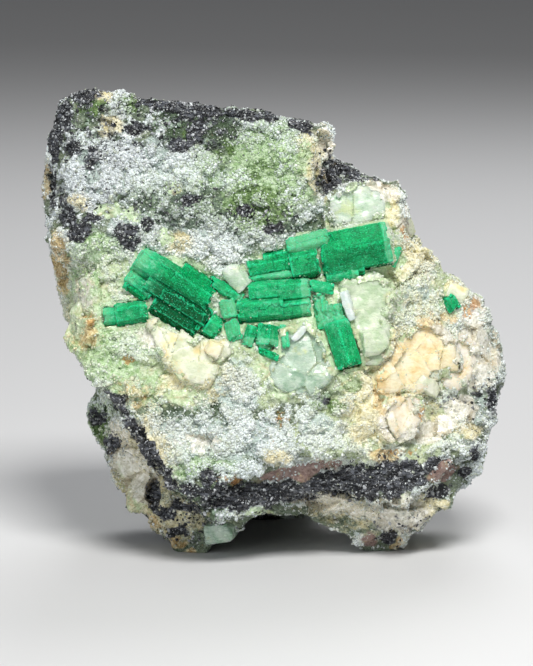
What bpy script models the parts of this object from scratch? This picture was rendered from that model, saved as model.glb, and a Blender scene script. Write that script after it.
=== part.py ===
"""Emerald crystals in their matrix: a rough of mica schist, sugary feldspar and quartz that stands on
three feet, with a belt of six-sided emerald prisms across its face.

Everything is laid out in the face frame and in millimetres: x runs to the right across the face, d runs
into the stone, and z runs up the face. The finished stone is then leaned back by LEAN_DEG on its feet,
so that its face looks slightly upwards, and its feet are ground flat at the height where they stand.
"""

import math

import bmesh
import bpy
from mathutils import Matrix, Vector

MM = 0.001

# Driving dimensions
LEAN_DEG = 10.0  # the face leans back by this much when the stone stands
SOCKET_GAP = 0.3  # clear gap between a crystal and the stone around it
VOXEL = 0.8  # grid on which the blocks of the stone are fused
ROCK_SHARE = 0.115  # share of the fused skin's faces that the finished stone keeps
STAND_AT = (0.25, -13.47)  # where the face frame's origin stands, so that the stone is centred on x and y

PARTS = "emerald_in_matrix"
HELPERS = "helpers"

# ---------------------------------------------------------------- scene, collections, materials


def clear_scene():
    for old in list(bpy.data.objects):
        bpy.data.objects.remove(old)


def new_collection(name):
    made = bpy.data.collections.new(name)
    bpy.context.scene.collection.children.link(made)
    return made


def mineral(name, colour, roughness, transmission=0.0):
    made = bpy.data.materials.new(name)
    made.use_nodes = True
    shader = made.node_tree.nodes["Principled BSDF"]
    shader.inputs["Base Color"].default_value = (*colour, 1.0)
    shader.inputs["Roughness"].default_value = roughness
    shader.inputs["Metallic"].default_value = 0.0
    shader.inputs["Transmission Weight"].default_value = transmission
    return made


def keep_in(obj, collection, helper=False):
    for home in list(obj.users_collection):
        home.objects.unlink(obj)
    collection.objects.link(obj)
    if helper:
        obj.hide_render = True
        obj.display_type = "WIRE"
    return obj


# ---------------------------------------------------------------- blocks of the stone


def block(bm, outline, front, back, taper=0.9, cuts=()):
    """One block of the stone: an outline across the face, with a front on a sloping plane.

    front is (depth at the frame's origin, rise per mm of x, rise per mm of z), back is the depth of the
    far side, taper how much the outline shrinks on the way there, and cuts are sloping fractures, each
    (a point on it, the direction of the side that broke away).
    """
    depth, slope_x, slope_z = front
    mid_x = sum(x for x, _ in outline) / len(outline)
    mid_z = sum(z for _, z in outline) / len(outline)
    near = [bm.verts.new((x, depth + slope_x * x + slope_z * z, z)) for x, z in outline]
    face = bm.faces.new(near)
    grown = bmesh.ops.extrude_face_region(bm, geom=[face])
    far = [item for item in grown["geom"] if isinstance(item, bmesh.types.BMVert)]
    for vert in far:
        vert.co.x = mid_x + (vert.co.x - mid_x) * taper
        vert.co.z = mid_z + (vert.co.z - mid_z) * taper
        vert.co.y = back
    body = set(near) | set(far)
    for point, away in cuts:
        parts = list(body)
        parts += list({edge for vert in body for edge in vert.link_edges})
        parts += list({side for vert in body for side in vert.link_faces})
        cut = bmesh.ops.bisect_plane(
            bm, geom=parts, plane_co=point, plane_no=away, clear_outer=True
        )
        rim = [item for item in cut["geom_cut"] if isinstance(item, bmesh.types.BMEdge)]
        bmesh.ops.edgeloop_fill(bm, edges=rim)
        body = {vert for vert in body if vert.is_valid}
        body |= {vert for edge in rim for vert in edge.verts}


def stone_blocks(bm):
    # The heart of the stone, which every other block is fused to.
    block(
        bm,
        [(-33, 58), (-30, 70), (2, 66), (15, 58), (21, 48), (31, 38), (33, 24),
         (26, 12), (6, 11), (-12, 9), (-24, 17), (-29, 30), (-33, 44)],
        front=(0, 0, 0),
        back=27,
        taper=0.78,
        cuts=[((0, 22, 62), (0.1, 0.75, 0.65)), ((26, 16, 40), (0.8, 0.6, 0.1)),
              ((-28, 18, 50), (-0.75, 0.65, 0.1)), ((-10, 25, 20), (-0.35, 0.8, -0.5))],
    )
    # Upper left: a raised block of dark schist with a sugary face. Its right side is a step.
    block(
        bm,
        [(-35.5, 70), (-34.4, 73), (-32.2, 74.4), (-30.3, 74.8), (-21.5, 73.2), (-4, 71.2),
         (5.7, 68.9), (6.8, 67.8), (5.9, 61.6), (6.6, 59.4), (7.9, 57.4), (8.6, 52.6),
         (4, 50.2), (-2, 48.4), (-7, 47.4), (-13.5, 48.4), (-20, 49.4), (-25, 49),
         (-31, 47), (-34.6, 47.2), (-35.8, 51.5), (-36.1, 57), (-36.3, 65)],
        front=(-15.6, 0, 0.148),
        back=20,
        taper=0.93,
        cuts=[((-34, -3, 60), (-0.8, -0.6, 0.05)), ((-14, -4.6, 73), (0.1, -0.55, 0.83)),
              ((-10, 16, 70), (0.05, 0.7, 0.7)), ((-32, 12, 66), (-0.7, 0.6, 0.4))],
    )
    # The pale rib along that step.
    block(
        bm,
        [(3, 69.5), (7.6, 68.4), (8.5, 66.8), (8.2, 64.6), (7.2, 60), (3, 60)],
        front=(-3.6, 0, 0),
        back=8,
        taper=1.0,
    )
    # The big slab of the face, below the emeralds; it overhangs the body behind it.
    block(
        bm,
        [(-34, 35.5), (-33.3, 38.2), (-32.4, 42.2), (-32.8, 47.5), (-31, 51), (-10, 50),
         (4, 48), (9, 46), (19, 46.5), (20, 42), (19, 30), (19, 16), (17.5, 15), (12.9, 15.8),
         (9.8, 16.5), (4, 15.8), (0, 14.7), (-2, 13.8), (-5.7, 13.3), (-8.4, 11.2),
         (-11, 8.9), (-12.6, 8.5), (-16.6, 11.7), (-20.6, 16.6), (-23.1, 21.1),
         (-24.8, 24.6), (-27.9, 27), (-30.3, 29)],
        front=(-14.0, 0, 0.15),
        back=6,
        taper=0.9,
        cuts=[((-27, -9, 38), (-0.55, -0.8, 0.12)), ((10.7, -9.5, 30), (0.42, -1, 0.08))],
    )
    # Right of the slab the face turns away.
    block(
        bm,
        [(14, 50), (20, 52), (22, 50.6), (24.9, 49), (27.3, 45.6), (30.5, 43.6), (32.6, 41.3),
         (34.5, 38.6), (35.5, 35.5), (37, 33), (36.8, 30), (36, 25.5), (32.9, 20.8),
         (28.9, 19.7), (25.2, 18.7), (22.2, 16.4), (20, 16.3), (17.5, 15), (13, 20)],
        front=(-16.4, 0.42, 0.08),
        back=23,
        taper=0.9,
        cuts=[((33, -2, 32), (0.85, -0.5, 0.1)), ((33, 12, 30), (0.75, 0.65, 0.12)),
              ((28, 10, 46), (0.5, 0.35, 0.8))],
    )
    # The shoulder behind the step: schist on top, a pale quartz face below it.
    block(
        bm,
        [(5, 44), (5, 57.5), (8, 58), (11.3, 59.4), (14.5, 59.8), (17.7, 60.1), (19.3, 58.4),
         (20.6, 55.2), (21.7, 51.5), (24.9, 49), (22, 43)],
        front=(-9.5, 0.12, 0.1),
        back=22,
        taper=0.9,
        cuts=[((19.5, -2, 57), (0.8, -0.55, 0.25)), ((19, 12, 56), (0.6, 0.6, 0.5))],
    )
    block(
        bm,
        [(4, 56), (5, 66), (9, 64.2), (11.3, 62.4), (14.5, 60.8), (17.7, 60.4), (17, 56)],
        front=(-11.6, 0.1, 0.2),
        back=20,
        taper=0.9,
        cuts=[((12, 14, 62), (0.4, 0.7, 0.6))],
    )
    # A back layer of stained feldspar that shows past the left edge.
    block(
        bm,
        [(-36.3, 63.4), (-37.3, 60.3), (-36.9, 56.3), (-35.8, 51.6), (-36.4, 49.9),
         (-35.9, 48), (-35.3, 44.8), (-34, 41.1), (-33.4, 38), (-27, 36), (-25, 60), (-31, 65)],
        front=(3.5, 0, 0),
        back=15,
        taper=0.92,
    )
    # The left leg, set back behind the slab.
    block(
        bm,
        [(-31.1, 21.9), (-31.5, 24.3), (-30.5, 26.7), (-30.8, 28.6), (-27, 32), (-12, 28),
         (-3, 14), (-4.4, 5.4), (-7, 3), (-10.3, 1.2), (-11.5, -1.5), (-15.5, -1.5), (-16.4, 1.9),
         (-19.9, 5.9), (-23.1, 9.1), (-26.3, 12.6), (-27.9, 16.3), (-29.5, 19.5)],
        front=(0.2, -0.16, -0.05),
        back=22,
        taper=0.85,
        cuts=[((-27, 8, 20), (-0.7, -0.7, 0)), ((-14, 12, 1), (0, 0.6, -0.8))],
    )
    # The right leg, with the dark mica band across it.
    block(
        bm,
        [(-3, 14), (-0.7, 7), (2.5, 7.2), (7.3, 6), (11.3, 4.3), (12.9, 2.4), (14.6, -1),
         (18.6, -1), (20.6, 1.9), (22.5, 4), (25.7, 6.2), (28.9, 9.1), (31.3, 12.3),
         (32.9, 15.5), (33.2, 18), (35.9, 22.7), (30, 27), (0, 26)],
        front=(-4.2, 0.12, 0.02),
        back=22,
        taper=0.85,
        cuts=[((16, 2.5, 2), (0, -0.75, -0.66)), ((17, 14, 2), (0, 0.65, -0.76))],
    )
    # A ledge of dark mica runs right across the stone, under the slab and above both legs.
    block(
        bm,
        [(-12.6, 8.5), (-5.5, 12.4), (7, 16), (17, 15), (25.2, 18.7), (31.3, 20), (33.2, 18.7),
         (32.2, 16.8), (29, 15), (24, 11.2), (20, 9.6), (15, 8.6), (11.4, 10.6), (4.4, 10.2),
         (-4, 7.4), (-8.6, 5.6), (-11.4, 6.6)],
        front=(-8.4, 0.1, 0.04),
        back=10,
        taper=0.95,
    )
    # The bridge between the legs, and the low back of the stone with its foot.
    block(
        bm,
        [(-9, 5.6), (-4.4, 6.0), (-0.7, 7.4), (4, 7.6), (8, 20), (-12, 20)],
        front=(0.0, 0, -0.05),
        back=22,
        taper=0.95,
        cuts=[((0, 3, 7), (0, 0.3, -0.95))],
    )
    block(
        bm,
        [(-16, 10), (-8, 9), (6, 9), (14, 12), (17, 30), (-18, 30)],
        front=(10, 0, 0),
        back=30,
        taper=0.85,
        cuts=[((0, 29, 26), (0.1, 0.8, 0.6)), ((0, 12, 9.5), (0, 0.25, -0.97))],
    )
    block(
        bm,
        [(-9, 1), (3, 1), (8, 8), (9, 20), (-12, 20), (-13, 8)],
        front=(27.5, 0, -0.25),
        back=33,
        taper=0.85,
    )


def build_stone(material, collection):
    mesh = bpy.data.meshes.new("matrix_rock")
    bm = bmesh.new()
    stone_blocks(bm)
    bmesh.ops.recalc_face_normals(bm, faces=bm.faces)
    bmesh.ops.scale(bm, vec=(MM, MM, MM), verts=bm.verts)
    bm.to_mesh(mesh)
    bm.free()
    rock = bpy.data.objects.new("matrix_rock", mesh)
    collection.objects.link(rock)
    mesh.materials.append(material)
    fuse = rock.modifiers.new("fuse blocks", "REMESH")
    fuse.mode = "VOXEL"
    fuse.voxel_size = VOXEL * MM
    wear = rock.modifiers.new("worn edges", "SMOOTH")
    wear.factor = 0.5
    wear.iterations = 3
    for name, kind, size, height in (
        ("broad swells", "CLOUDS", 9.0, 1.6),
        ("fracture facets", "VORONOI", 5.0, 1.3),
        ("rough grain", "CLOUDS", 2.6, 0.7),
    ):
        relief = bpy.data.textures.new(name, kind)
        relief.noise_scale = size * MM
        push = rock.modifiers.new(name, "DISPLACE")
        push.texture = relief
        push.strength = height * MM
        push.mid_level = 0.5
    thin = rock.modifiers.new("plain facets", "DECIMATE")
    thin.ratio = ROCK_SHARE
    return rock


# ---------------------------------------------------------------- crystals


def prism(name, tail, tip, radius, roll_deg, collection, grow=0.0, sides=6):
    """A six-sided column from tail to tip, each (x, d, z), made larger all round by grow."""
    start, end = Vector(tail), Vector(tip)
    along = (end - start).normalized()
    start, end = start - along * grow, end + along * grow
    bpy.ops.mesh.primitive_cylinder_add(
        vertices=sides,
        radius=(radius + grow / math.cos(math.pi / sides)) * MM,
        depth=(end - start).length * MM,
        location=(start + end) / 2 * MM,
    )
    column = bpy.context.object
    column.name = name
    turn = along.to_track_quat("Z", "Y").to_matrix() @ Matrix.Rotation(math.radians(roll_deg), 3, "Z")
    column.rotation_euler = turn.to_euler()
    return keep_in(column, collection)


def join_by_union(whole, more):
    for other in more:
        union = whole.modifiers.new("with " + other.name, "BOOLEAN")
        union.operation = "UNION"
        union.object = other


# Each emerald is a bundle of columns grown together: (tail, tip, radius, roll).
EMERALDS = {
    "emerald_left_prism": [
        ((-21.6, -7.4, 47.7), (-10.3, -7.7, 40.6), 2.3, 0),
        ((-20.1, -7.9, 44.0), (-10.5, -8.1, 37.9), 1.7, 8),
        ((-19.1, -7.2, 40.6), (-12.1, -7.5, 36.2), 1.8, -10),
        ((-23.2, -7.7, 44.9), (-19.4, -7.7, 42.0), 1.2, 0),
        ((-14.4, -7.2, 46.4), (-10.0, -7.3, 43.6), 0.7, 0),
    ],
    "emerald_left_end": [
        ((-11.2, -7.5, 37.6), (-8.6, -7.8, 36.1), 2.0, 5),
    ],
    "emerald_link": [
        ((-10.6, -7.2, 44.3), (-5.2, -7.5, 41.2), 0.95, 10),
    ],
    "emerald_far_left": [
        ((-25.0, -7.5, 38.6), (-20.1, -7.7, 39.4), 1.8, 0),
        ((-27.0, -7.3, 38.4), (-24.2, -7.5, 38.6), 1.5, 5),
    ],
    "emerald_right_prism": [
        ((7.3, -5.9, 48.0), (18.1, -5.7, 50.1), 3.7, 22),
        ((8.0, -7.0, 45.9), (14.0, -7.0, 46.7), 1.7, 0),
    ],
    "emerald_upper_bar": [
        ((-4.1, -7.3, 45.8), (2.9, -7.3, 46.9), 1.3, 0),
        ((-1.6, -6.9, 47.3), (3.4, -6.9, 48.3), 1.2, 0),
        ((2.6, -6.8, 46.4), (6.8, -6.8, 47.3), 2.6, 5),
    ],
    "emerald_centre": [
        ((-4.1, -7.3, 42.2), (1.4, -7.3, 42.8), 1.8, 0),
        ((0.9, -7.2, 42.6), (5.5, -7.2, 43.0), 2.0, 10),
        ((-5.8, -7.5, 39.3), (1.3, -7.6, 39.8), 2.0, 0),
        ((0.8, -7.6, 39.4), (5.6, -7.6, 40.1), 1.6, 5),
    ],
    "emerald_lower_prism": [
        ((9.7, -7.9, 37.4), (11.8, -8.8, 30.5), 2.2, 5),
        ((6.9, -7.5, 41.9), (7.9, -7.8, 36.6), 1.2, 0),
        ((9.1, -7.5, 40.4), (9.9, -7.9, 36.6), 1.8, 8),
    ],
    "emerald_stub": [
        ((-1.0, -7.9, 37.0), (-1.4, -8.4, 33.8), 1.9, 10),
        ((-3.4, -8.1, 36.8), (-4.4, -8.5, 33.8), 1.0, 0),
        ((-2.0, -8.3, 34.6), (-1.0, -8.6, 32.8), 1.1, 0),
    ],
    "emerald_chip": [
        ((27.6, -1.8, 41.6), (28.8, -1.4, 39.6), 1.0, 0),
    ],
}

# Blocky crystals of feldspar and quartz, set nearly flush in the stone: (outline, front, back).
PALE_CRYSTALS = {
    "feldspar_cream": (
        [(-19.7, 37.6), (-12.7, 34.6), (-7.8, 33.8), (-7.6, 32.8), (-9.0, 31.5), (-10.0, 32.0),
         (-9.9, 29.8), (-10.3, 27.8), (-12.4, 28.3), (-14.5, 29.1), (-15.8, 30.4), (-17.0, 32.0),
         (-18.2, 34.1)],
        (-14.8, 0, 0.15),
        -4.5,
    ),
    "feldspar_amber": (
        [(20.7, 35.4), (23.0, 37.1), (24.6, 37.5), (26.6, 35.5), (28.1, 33.4), (28.9, 30.2),
         (26.0, 29.4), (24.7, 29.0), (22.8, 26.6), (20.4, 27.5), (18.0, 26.2), (16.2, 26.6),
         (16.6, 29.4), (17.8, 31.5), (19.6, 33.1)],
        (-17.4, 0.42, 0.08),
        3.0,
    ),
    "feldspar_white": (
        [(17.8, 24.4), (18.8, 25.2), (21.4, 25.6), (22.8, 25.0), (22.6, 21.9), (21.4, 20.0),
         (19.8, 19.7), (18.5, 21.1)],
        (-17.3, 0.42, 0.08),
        1.0,
    ),
    "quartz_lower": (
        [(1.2, 35.6), (4.7, 37.0), (6.8, 35.4), (8.0, 33.0), (9.0, 29.8), (7.9, 28.2), (6.0, 26.6),
         (3.8, 26.1), (1.5, 27.0), (-0.6, 28.6), (-0.7, 30.6), (1.0, 32.4)],
        (-14.8, 0, 0.15),
        -4.0,
    ),
    "quartz_right": (
        [(10.9, 43.9), (13.2, 44.3), (16.4, 44.8), (18.2, 42.4), (18.3, 40.2), (17.0, 38.6),
         (18.3, 35.5), (17.8, 33.1), (16.1, 31.2), (14.4, 31.0), (13.0, 35.4), (12.6, 38.6),
         (11.2, 41.4)],
        (-15.6, 0.1, 0.15),
        -2.0,
    ),
    "quartz_upper": (
        [(8.6, 57.0), (10.0, 58.2), (12.1, 59.0), (14.2, 59.2), (16.4, 59.0), (17.5, 57.8),
         (17.8, 56.2), (17.7, 54.6), (12.1, 53.4), (9.0, 52.8)],
        (-10.1, 0.12, 0.1),
        1.0,
    ),
    "quartz_far_right": (
        [(28.6, 35.6), (29.6, 35.6), (31.8, 33.9), (32.2, 31.2), (30.6, 28.3), (28.4, 27.2),
         (26.6, 28.4), (29.4, 29.8)],
        (-17.0, 0.43, 0.08),
        4.0,
    ),
}


def build_emeralds(material, parts, helpers):
    """The emeralds, and for each of them the cutters that make room for it."""
    crystals, rooms = {}, {}
    for name, columns in EMERALDS.items():
        made = [
            prism(f"{name}_col{i}" if i else name, *column, helpers if i else parts)
            for i, column in enumerate(columns)
        ]
        for extra in made[1:]:
            keep_in(extra, helpers, helper=True)
        join_by_union(made[0], made[1:])
        made[0].data.materials.append(material)
        crystals[name] = made[0]
        rooms[name] = [
            keep_in(prism(f"socket_{name}_{i}", *column, helpers, grow=SOCKET_GAP), helpers, helper=True)
            for i, column in enumerate(columns)
        ]
    return crystals, rooms


def widened(outline, gap):
    """The outline with every side moved outwards by gap."""
    points = [Vector(point) for point in outline]
    rings = list(zip(points[-1:] + points[:-1], points, points[1:] + points[:1]))
    turn = 1.0 if sum(a.x * b.y - b.x * a.y for a, b, _ in rings) > 0 else -1.0
    moved = []
    for before, here, after in rings:
        first, second = (here - before).normalized(), (after - here).normalized()
        out_a = Vector((first.y, -first.x)) * turn
        out_b = Vector((second.y, -second.x)) * turn
        moved.append(here + (out_a + out_b) * gap / (1.0 + out_a.dot(out_b)))
    return moved


def pale_block(name, spec, material, collection, grow=0.0):
    """A feldspar or quartz crystal, made larger all round by grow."""
    outline, (depth, slope_x, slope_z), back = spec
    spread = widened(outline, grow)
    mesh = bpy.data.meshes.new(name)
    bm = bmesh.new()
    block(bm, spread, (depth - grow, slope_x, slope_z), back + grow, taper=0.8)
    bmesh.ops.recalc_face_normals(bm, faces=bm.faces)
    bmesh.ops.scale(bm, vec=(MM, MM, MM), verts=bm.verts)
    bm.to_mesh(mesh)
    bm.free()
    mesh.materials.append(material)
    made = bpy.data.objects.new(name, mesh)
    collection.objects.link(made)
    return made


def build_pale(feldspar, quartz, parts, helpers):
    crystals, rooms = {}, {}
    for name, spec in PALE_CRYSTALS.items():
        material = feldspar if name.startswith("feldspar") else quartz
        crystals[name] = pale_block(name, spec, material, parts)
        room = pale_block("socket_" + name, spec, material, helpers, grow=SOCKET_GAP)
        rooms[name] = [keep_in(room, helpers, helper=True)]
    return crystals, rooms


def corners(obj):
    return [obj.matrix_basis @ vert.co for vert in obj.data.vertices]


def touches(rooms, other):
    """Whether other's box meets the box of any of the rooms."""
    far = corners(other)
    for room in rooms:
        near = corners(room)
        if all(
            min(p[i] for p in near) < max(p[i] for p in far)
            and min(p[i] for p in far) < max(p[i] for p in near)
            for i in range(3)
        ):
            return True
    return False


def cut_from(obj, cutters):
    for cutter in cutters:
        cut = obj.modifiers.new("room for " + cutter.name, "BOOLEAN")
        cut.operation = "DIFFERENCE"
        cut.object = cutter


def main():
    clear_scene()
    parts, helpers = new_collection(PARTS), new_collection(HELPERS)
    stone = mineral("stone", (0.62, 0.64, 0.56), 0.8)
    emerald = mineral("emerald", (0.0, 0.42, 0.17), 0.15, 0.4)
    rock = build_stone(stone, parts)
    feldspar = mineral("feldspar", (0.84, 0.72, 0.5), 0.45)
    quartz = mineral("quartz", (0.62, 0.72, 0.6), 0.25, 0.2)
    emeralds, rooms = build_emeralds(emerald, parts, helpers)
    pale, pale_rooms = build_pale(feldspar, quartz, parts, helpers)
    crystals = {**emeralds, **pale}
    rooms.update(pale_rooms)
    # Where two crystals meet, the one listed first is whole and the next leaves room for it.
    earlier = []
    for name, crystal in crystals.items():
        cut_from(crystal, [room for other, room in earlier if touches(rooms[name], room)])
        earlier += [(name, room) for room in rooms[name]]
    cut_from(rock, [room for _, room in earlier])
    stand = bpy.data.objects.new("stand", None)
    parts.objects.link(stand)
    for obj in [rock, *crystals.values(), *helpers.objects]:
        obj.parent = stand
    stand.location = (STAND_AT[0] * MM, STAND_AT[1] * MM, 0.0)
    stand.rotation_euler.x = -math.radians(LEAN_DEG)
    # The table: everything below it is ground off the feet.
    bpy.ops.mesh.primitive_cube_add(size=1.0, location=(0, 0, -0.05))
    table = keep_in(bpy.context.object, helpers, helper=True)
    table.name = "table"
    table.scale = (0.2, 0.2, 0.1)
    grind = rock.modifiers.new("flat feet", "BOOLEAN")
    grind.operation = "DIFFERENCE"
    grind.object = table


main()
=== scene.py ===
# %% [markdown]
# # Emerald in matrix
# A hand specimen: a rough of mica schist with a crust of sugary feldspar, lumps of glassy quartz, blocks
# of stained feldspar, and a belt of six-sided emerald prisms grown across its face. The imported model
# holds the stone and every crystal as plain solids. This lesson keeps their places and gives each of
# them the fine shape and the finish of the real mineral.

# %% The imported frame
import math

import bpy
import numpy as np
from mathutils import Matrix, Vector, noise
from mathutils.bvhtree import BVHTree
from mathutils.kdtree import KDTree


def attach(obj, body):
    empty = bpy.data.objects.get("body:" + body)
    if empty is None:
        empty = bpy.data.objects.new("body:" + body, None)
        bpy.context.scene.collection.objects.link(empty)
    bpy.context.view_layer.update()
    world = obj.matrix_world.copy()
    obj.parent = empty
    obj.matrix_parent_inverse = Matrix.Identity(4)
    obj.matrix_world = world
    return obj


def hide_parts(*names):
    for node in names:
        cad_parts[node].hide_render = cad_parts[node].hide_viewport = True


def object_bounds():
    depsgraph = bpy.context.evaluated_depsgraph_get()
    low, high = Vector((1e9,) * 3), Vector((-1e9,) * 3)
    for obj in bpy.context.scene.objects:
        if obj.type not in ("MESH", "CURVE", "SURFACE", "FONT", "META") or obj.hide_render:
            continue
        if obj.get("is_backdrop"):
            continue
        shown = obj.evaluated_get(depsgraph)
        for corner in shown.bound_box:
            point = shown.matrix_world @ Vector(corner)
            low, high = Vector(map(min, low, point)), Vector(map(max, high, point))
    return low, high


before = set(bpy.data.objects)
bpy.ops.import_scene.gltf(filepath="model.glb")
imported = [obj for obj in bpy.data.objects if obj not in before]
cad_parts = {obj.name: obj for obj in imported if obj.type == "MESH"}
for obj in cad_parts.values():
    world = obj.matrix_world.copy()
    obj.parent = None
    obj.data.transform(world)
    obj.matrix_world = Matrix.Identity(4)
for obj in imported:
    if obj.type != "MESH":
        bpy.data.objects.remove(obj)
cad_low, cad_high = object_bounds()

MM = 0.001
scene = bpy.context.scene
print("CAD box in mm:", [round(v / MM, 1) for v in (*cad_low, *cad_high)])

# %% [markdown]
# The stone leans back on its feet, so its face is easier to describe in a frame of its own: x to the
# right, d into the stone and z up the face, all in millimetres. Every patch of colour and every small
# crystal below is placed in that face frame, and two functions carry points to and fro.

# %% The face frame
LEAN = math.radians(10.0)  # how far the face leans back
STAND_X, STAND_Y = 0.25, -13.47  # where the face frame's origin stands on the table, in mm
OUTWARD = Vector((0.0, -math.cos(LEAN), math.sin(LEAN)))  # straight out of the face


def face_places(points):
    """World places in metres, given in the face frame in mm."""
    x = points[:, 0] / MM - STAND_X
    y = points[:, 1] / MM - STAND_Y
    z = points[:, 2] / MM
    painted_underside_shade, up = y * math.cos(LEAN) - z * math.sin(LEAN), y * math.sin(LEAN) + z * math.cos(LEAN)
    return np.stack([x, painted_underside_shade, up], 1)


def world_place(x, d, z):
    """A place in the face frame, given in the world in metres."""
    y = d * math.cos(LEAN) + z * math.sin(LEAN)
    return Vector((x + STAND_X, y + STAND_Y, z * math.cos(LEAN) - d * math.sin(LEAN))) * MM


print("Middle of the belt stands at", [round(v, 4) for v in world_place(0, -7, 43)])

# %% [markdown]
# ## Camera, floor and light
# A small specimen is shot with a long lens from a little above, which keeps its outline free of
# perspective. The floor is a pale sheet wide enough to fill the picture, and three soft panels light
# the stone: a key from the upper left, a weaker fill from the right and one from behind that draws a
# bright edge along its top.

# %% Camera
CAMERA_LENS, CAMERA_AWAY = 200.0, 0.592  # mm of focal length, metres from the stone
aim = world_place(-1.28, 0.0, 35.84)
bpy.ops.object.camera_add(location=aim + OUTWARD * CAMERA_AWAY)
camera = bpy.context.object
camera.rotation_euler = OUTWARD.to_track_quat("Z", "Y").to_euler()
camera.data.lens = CAMERA_LENS
camera.data.clip_start = 0.01
scene.camera = camera

# %% Floor and light
FLOOR_RADIUS = 4.0
bpy.ops.mesh.primitive_circle_add(vertices=96, radius=FLOOR_RADIUS, fill_type="NGON")
floor = bpy.context.object
floor.name = "floor"
floor_finish = bpy.data.materials.new("pale studio floor")
floor_finish.use_nodes = True
floor_shader = floor_finish.node_tree.nodes["Principled BSDF"]
floor_shader.inputs["Base Color"].default_value = (0.64, 0.645, 0.655, 1.0)
floor_shader.inputs["Roughness"].default_value = 0.6
floor.data.materials.append(floor_finish)
floor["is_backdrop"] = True


def soft_panel(name, place, wide, watts, tint):
    """A square area light at a place in metres, turned to the stone."""
    bpy.ops.object.light_add(type="AREA", location=place)
    lamp = bpy.context.object
    lamp.name = name
    lamp.data.size = wide
    lamp.data.energy = watts
    lamp.data.color = tint
    lamp.rotation_euler = (Vector(place) - aim).to_track_quat("Z", "Y").to_euler()


soft_panel("key", (0.08, -0.34, 0.52), 0.20, 4.1, (1.0, 0.985, 0.96))
soft_panel("fill", (-0.36, -0.44, 0.22), 0.40, 1.0, (0.95, 0.98, 1.0))
soft_panel("rim", (0.10, 0.40, 0.42), 0.30, 1.3, (1.0, 1.0, 1.0))
world = bpy.data.worlds.new("studio")
world.use_nodes = True
world.node_tree.nodes["Background"].inputs["Color"].default_value = (0.86, 0.87, 0.89, 1.0)
world.node_tree.nodes["Background"].inputs["Strength"].default_value = 0.13
scene.world = world
scene.view_settings.view_transform = "Standard"
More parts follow.
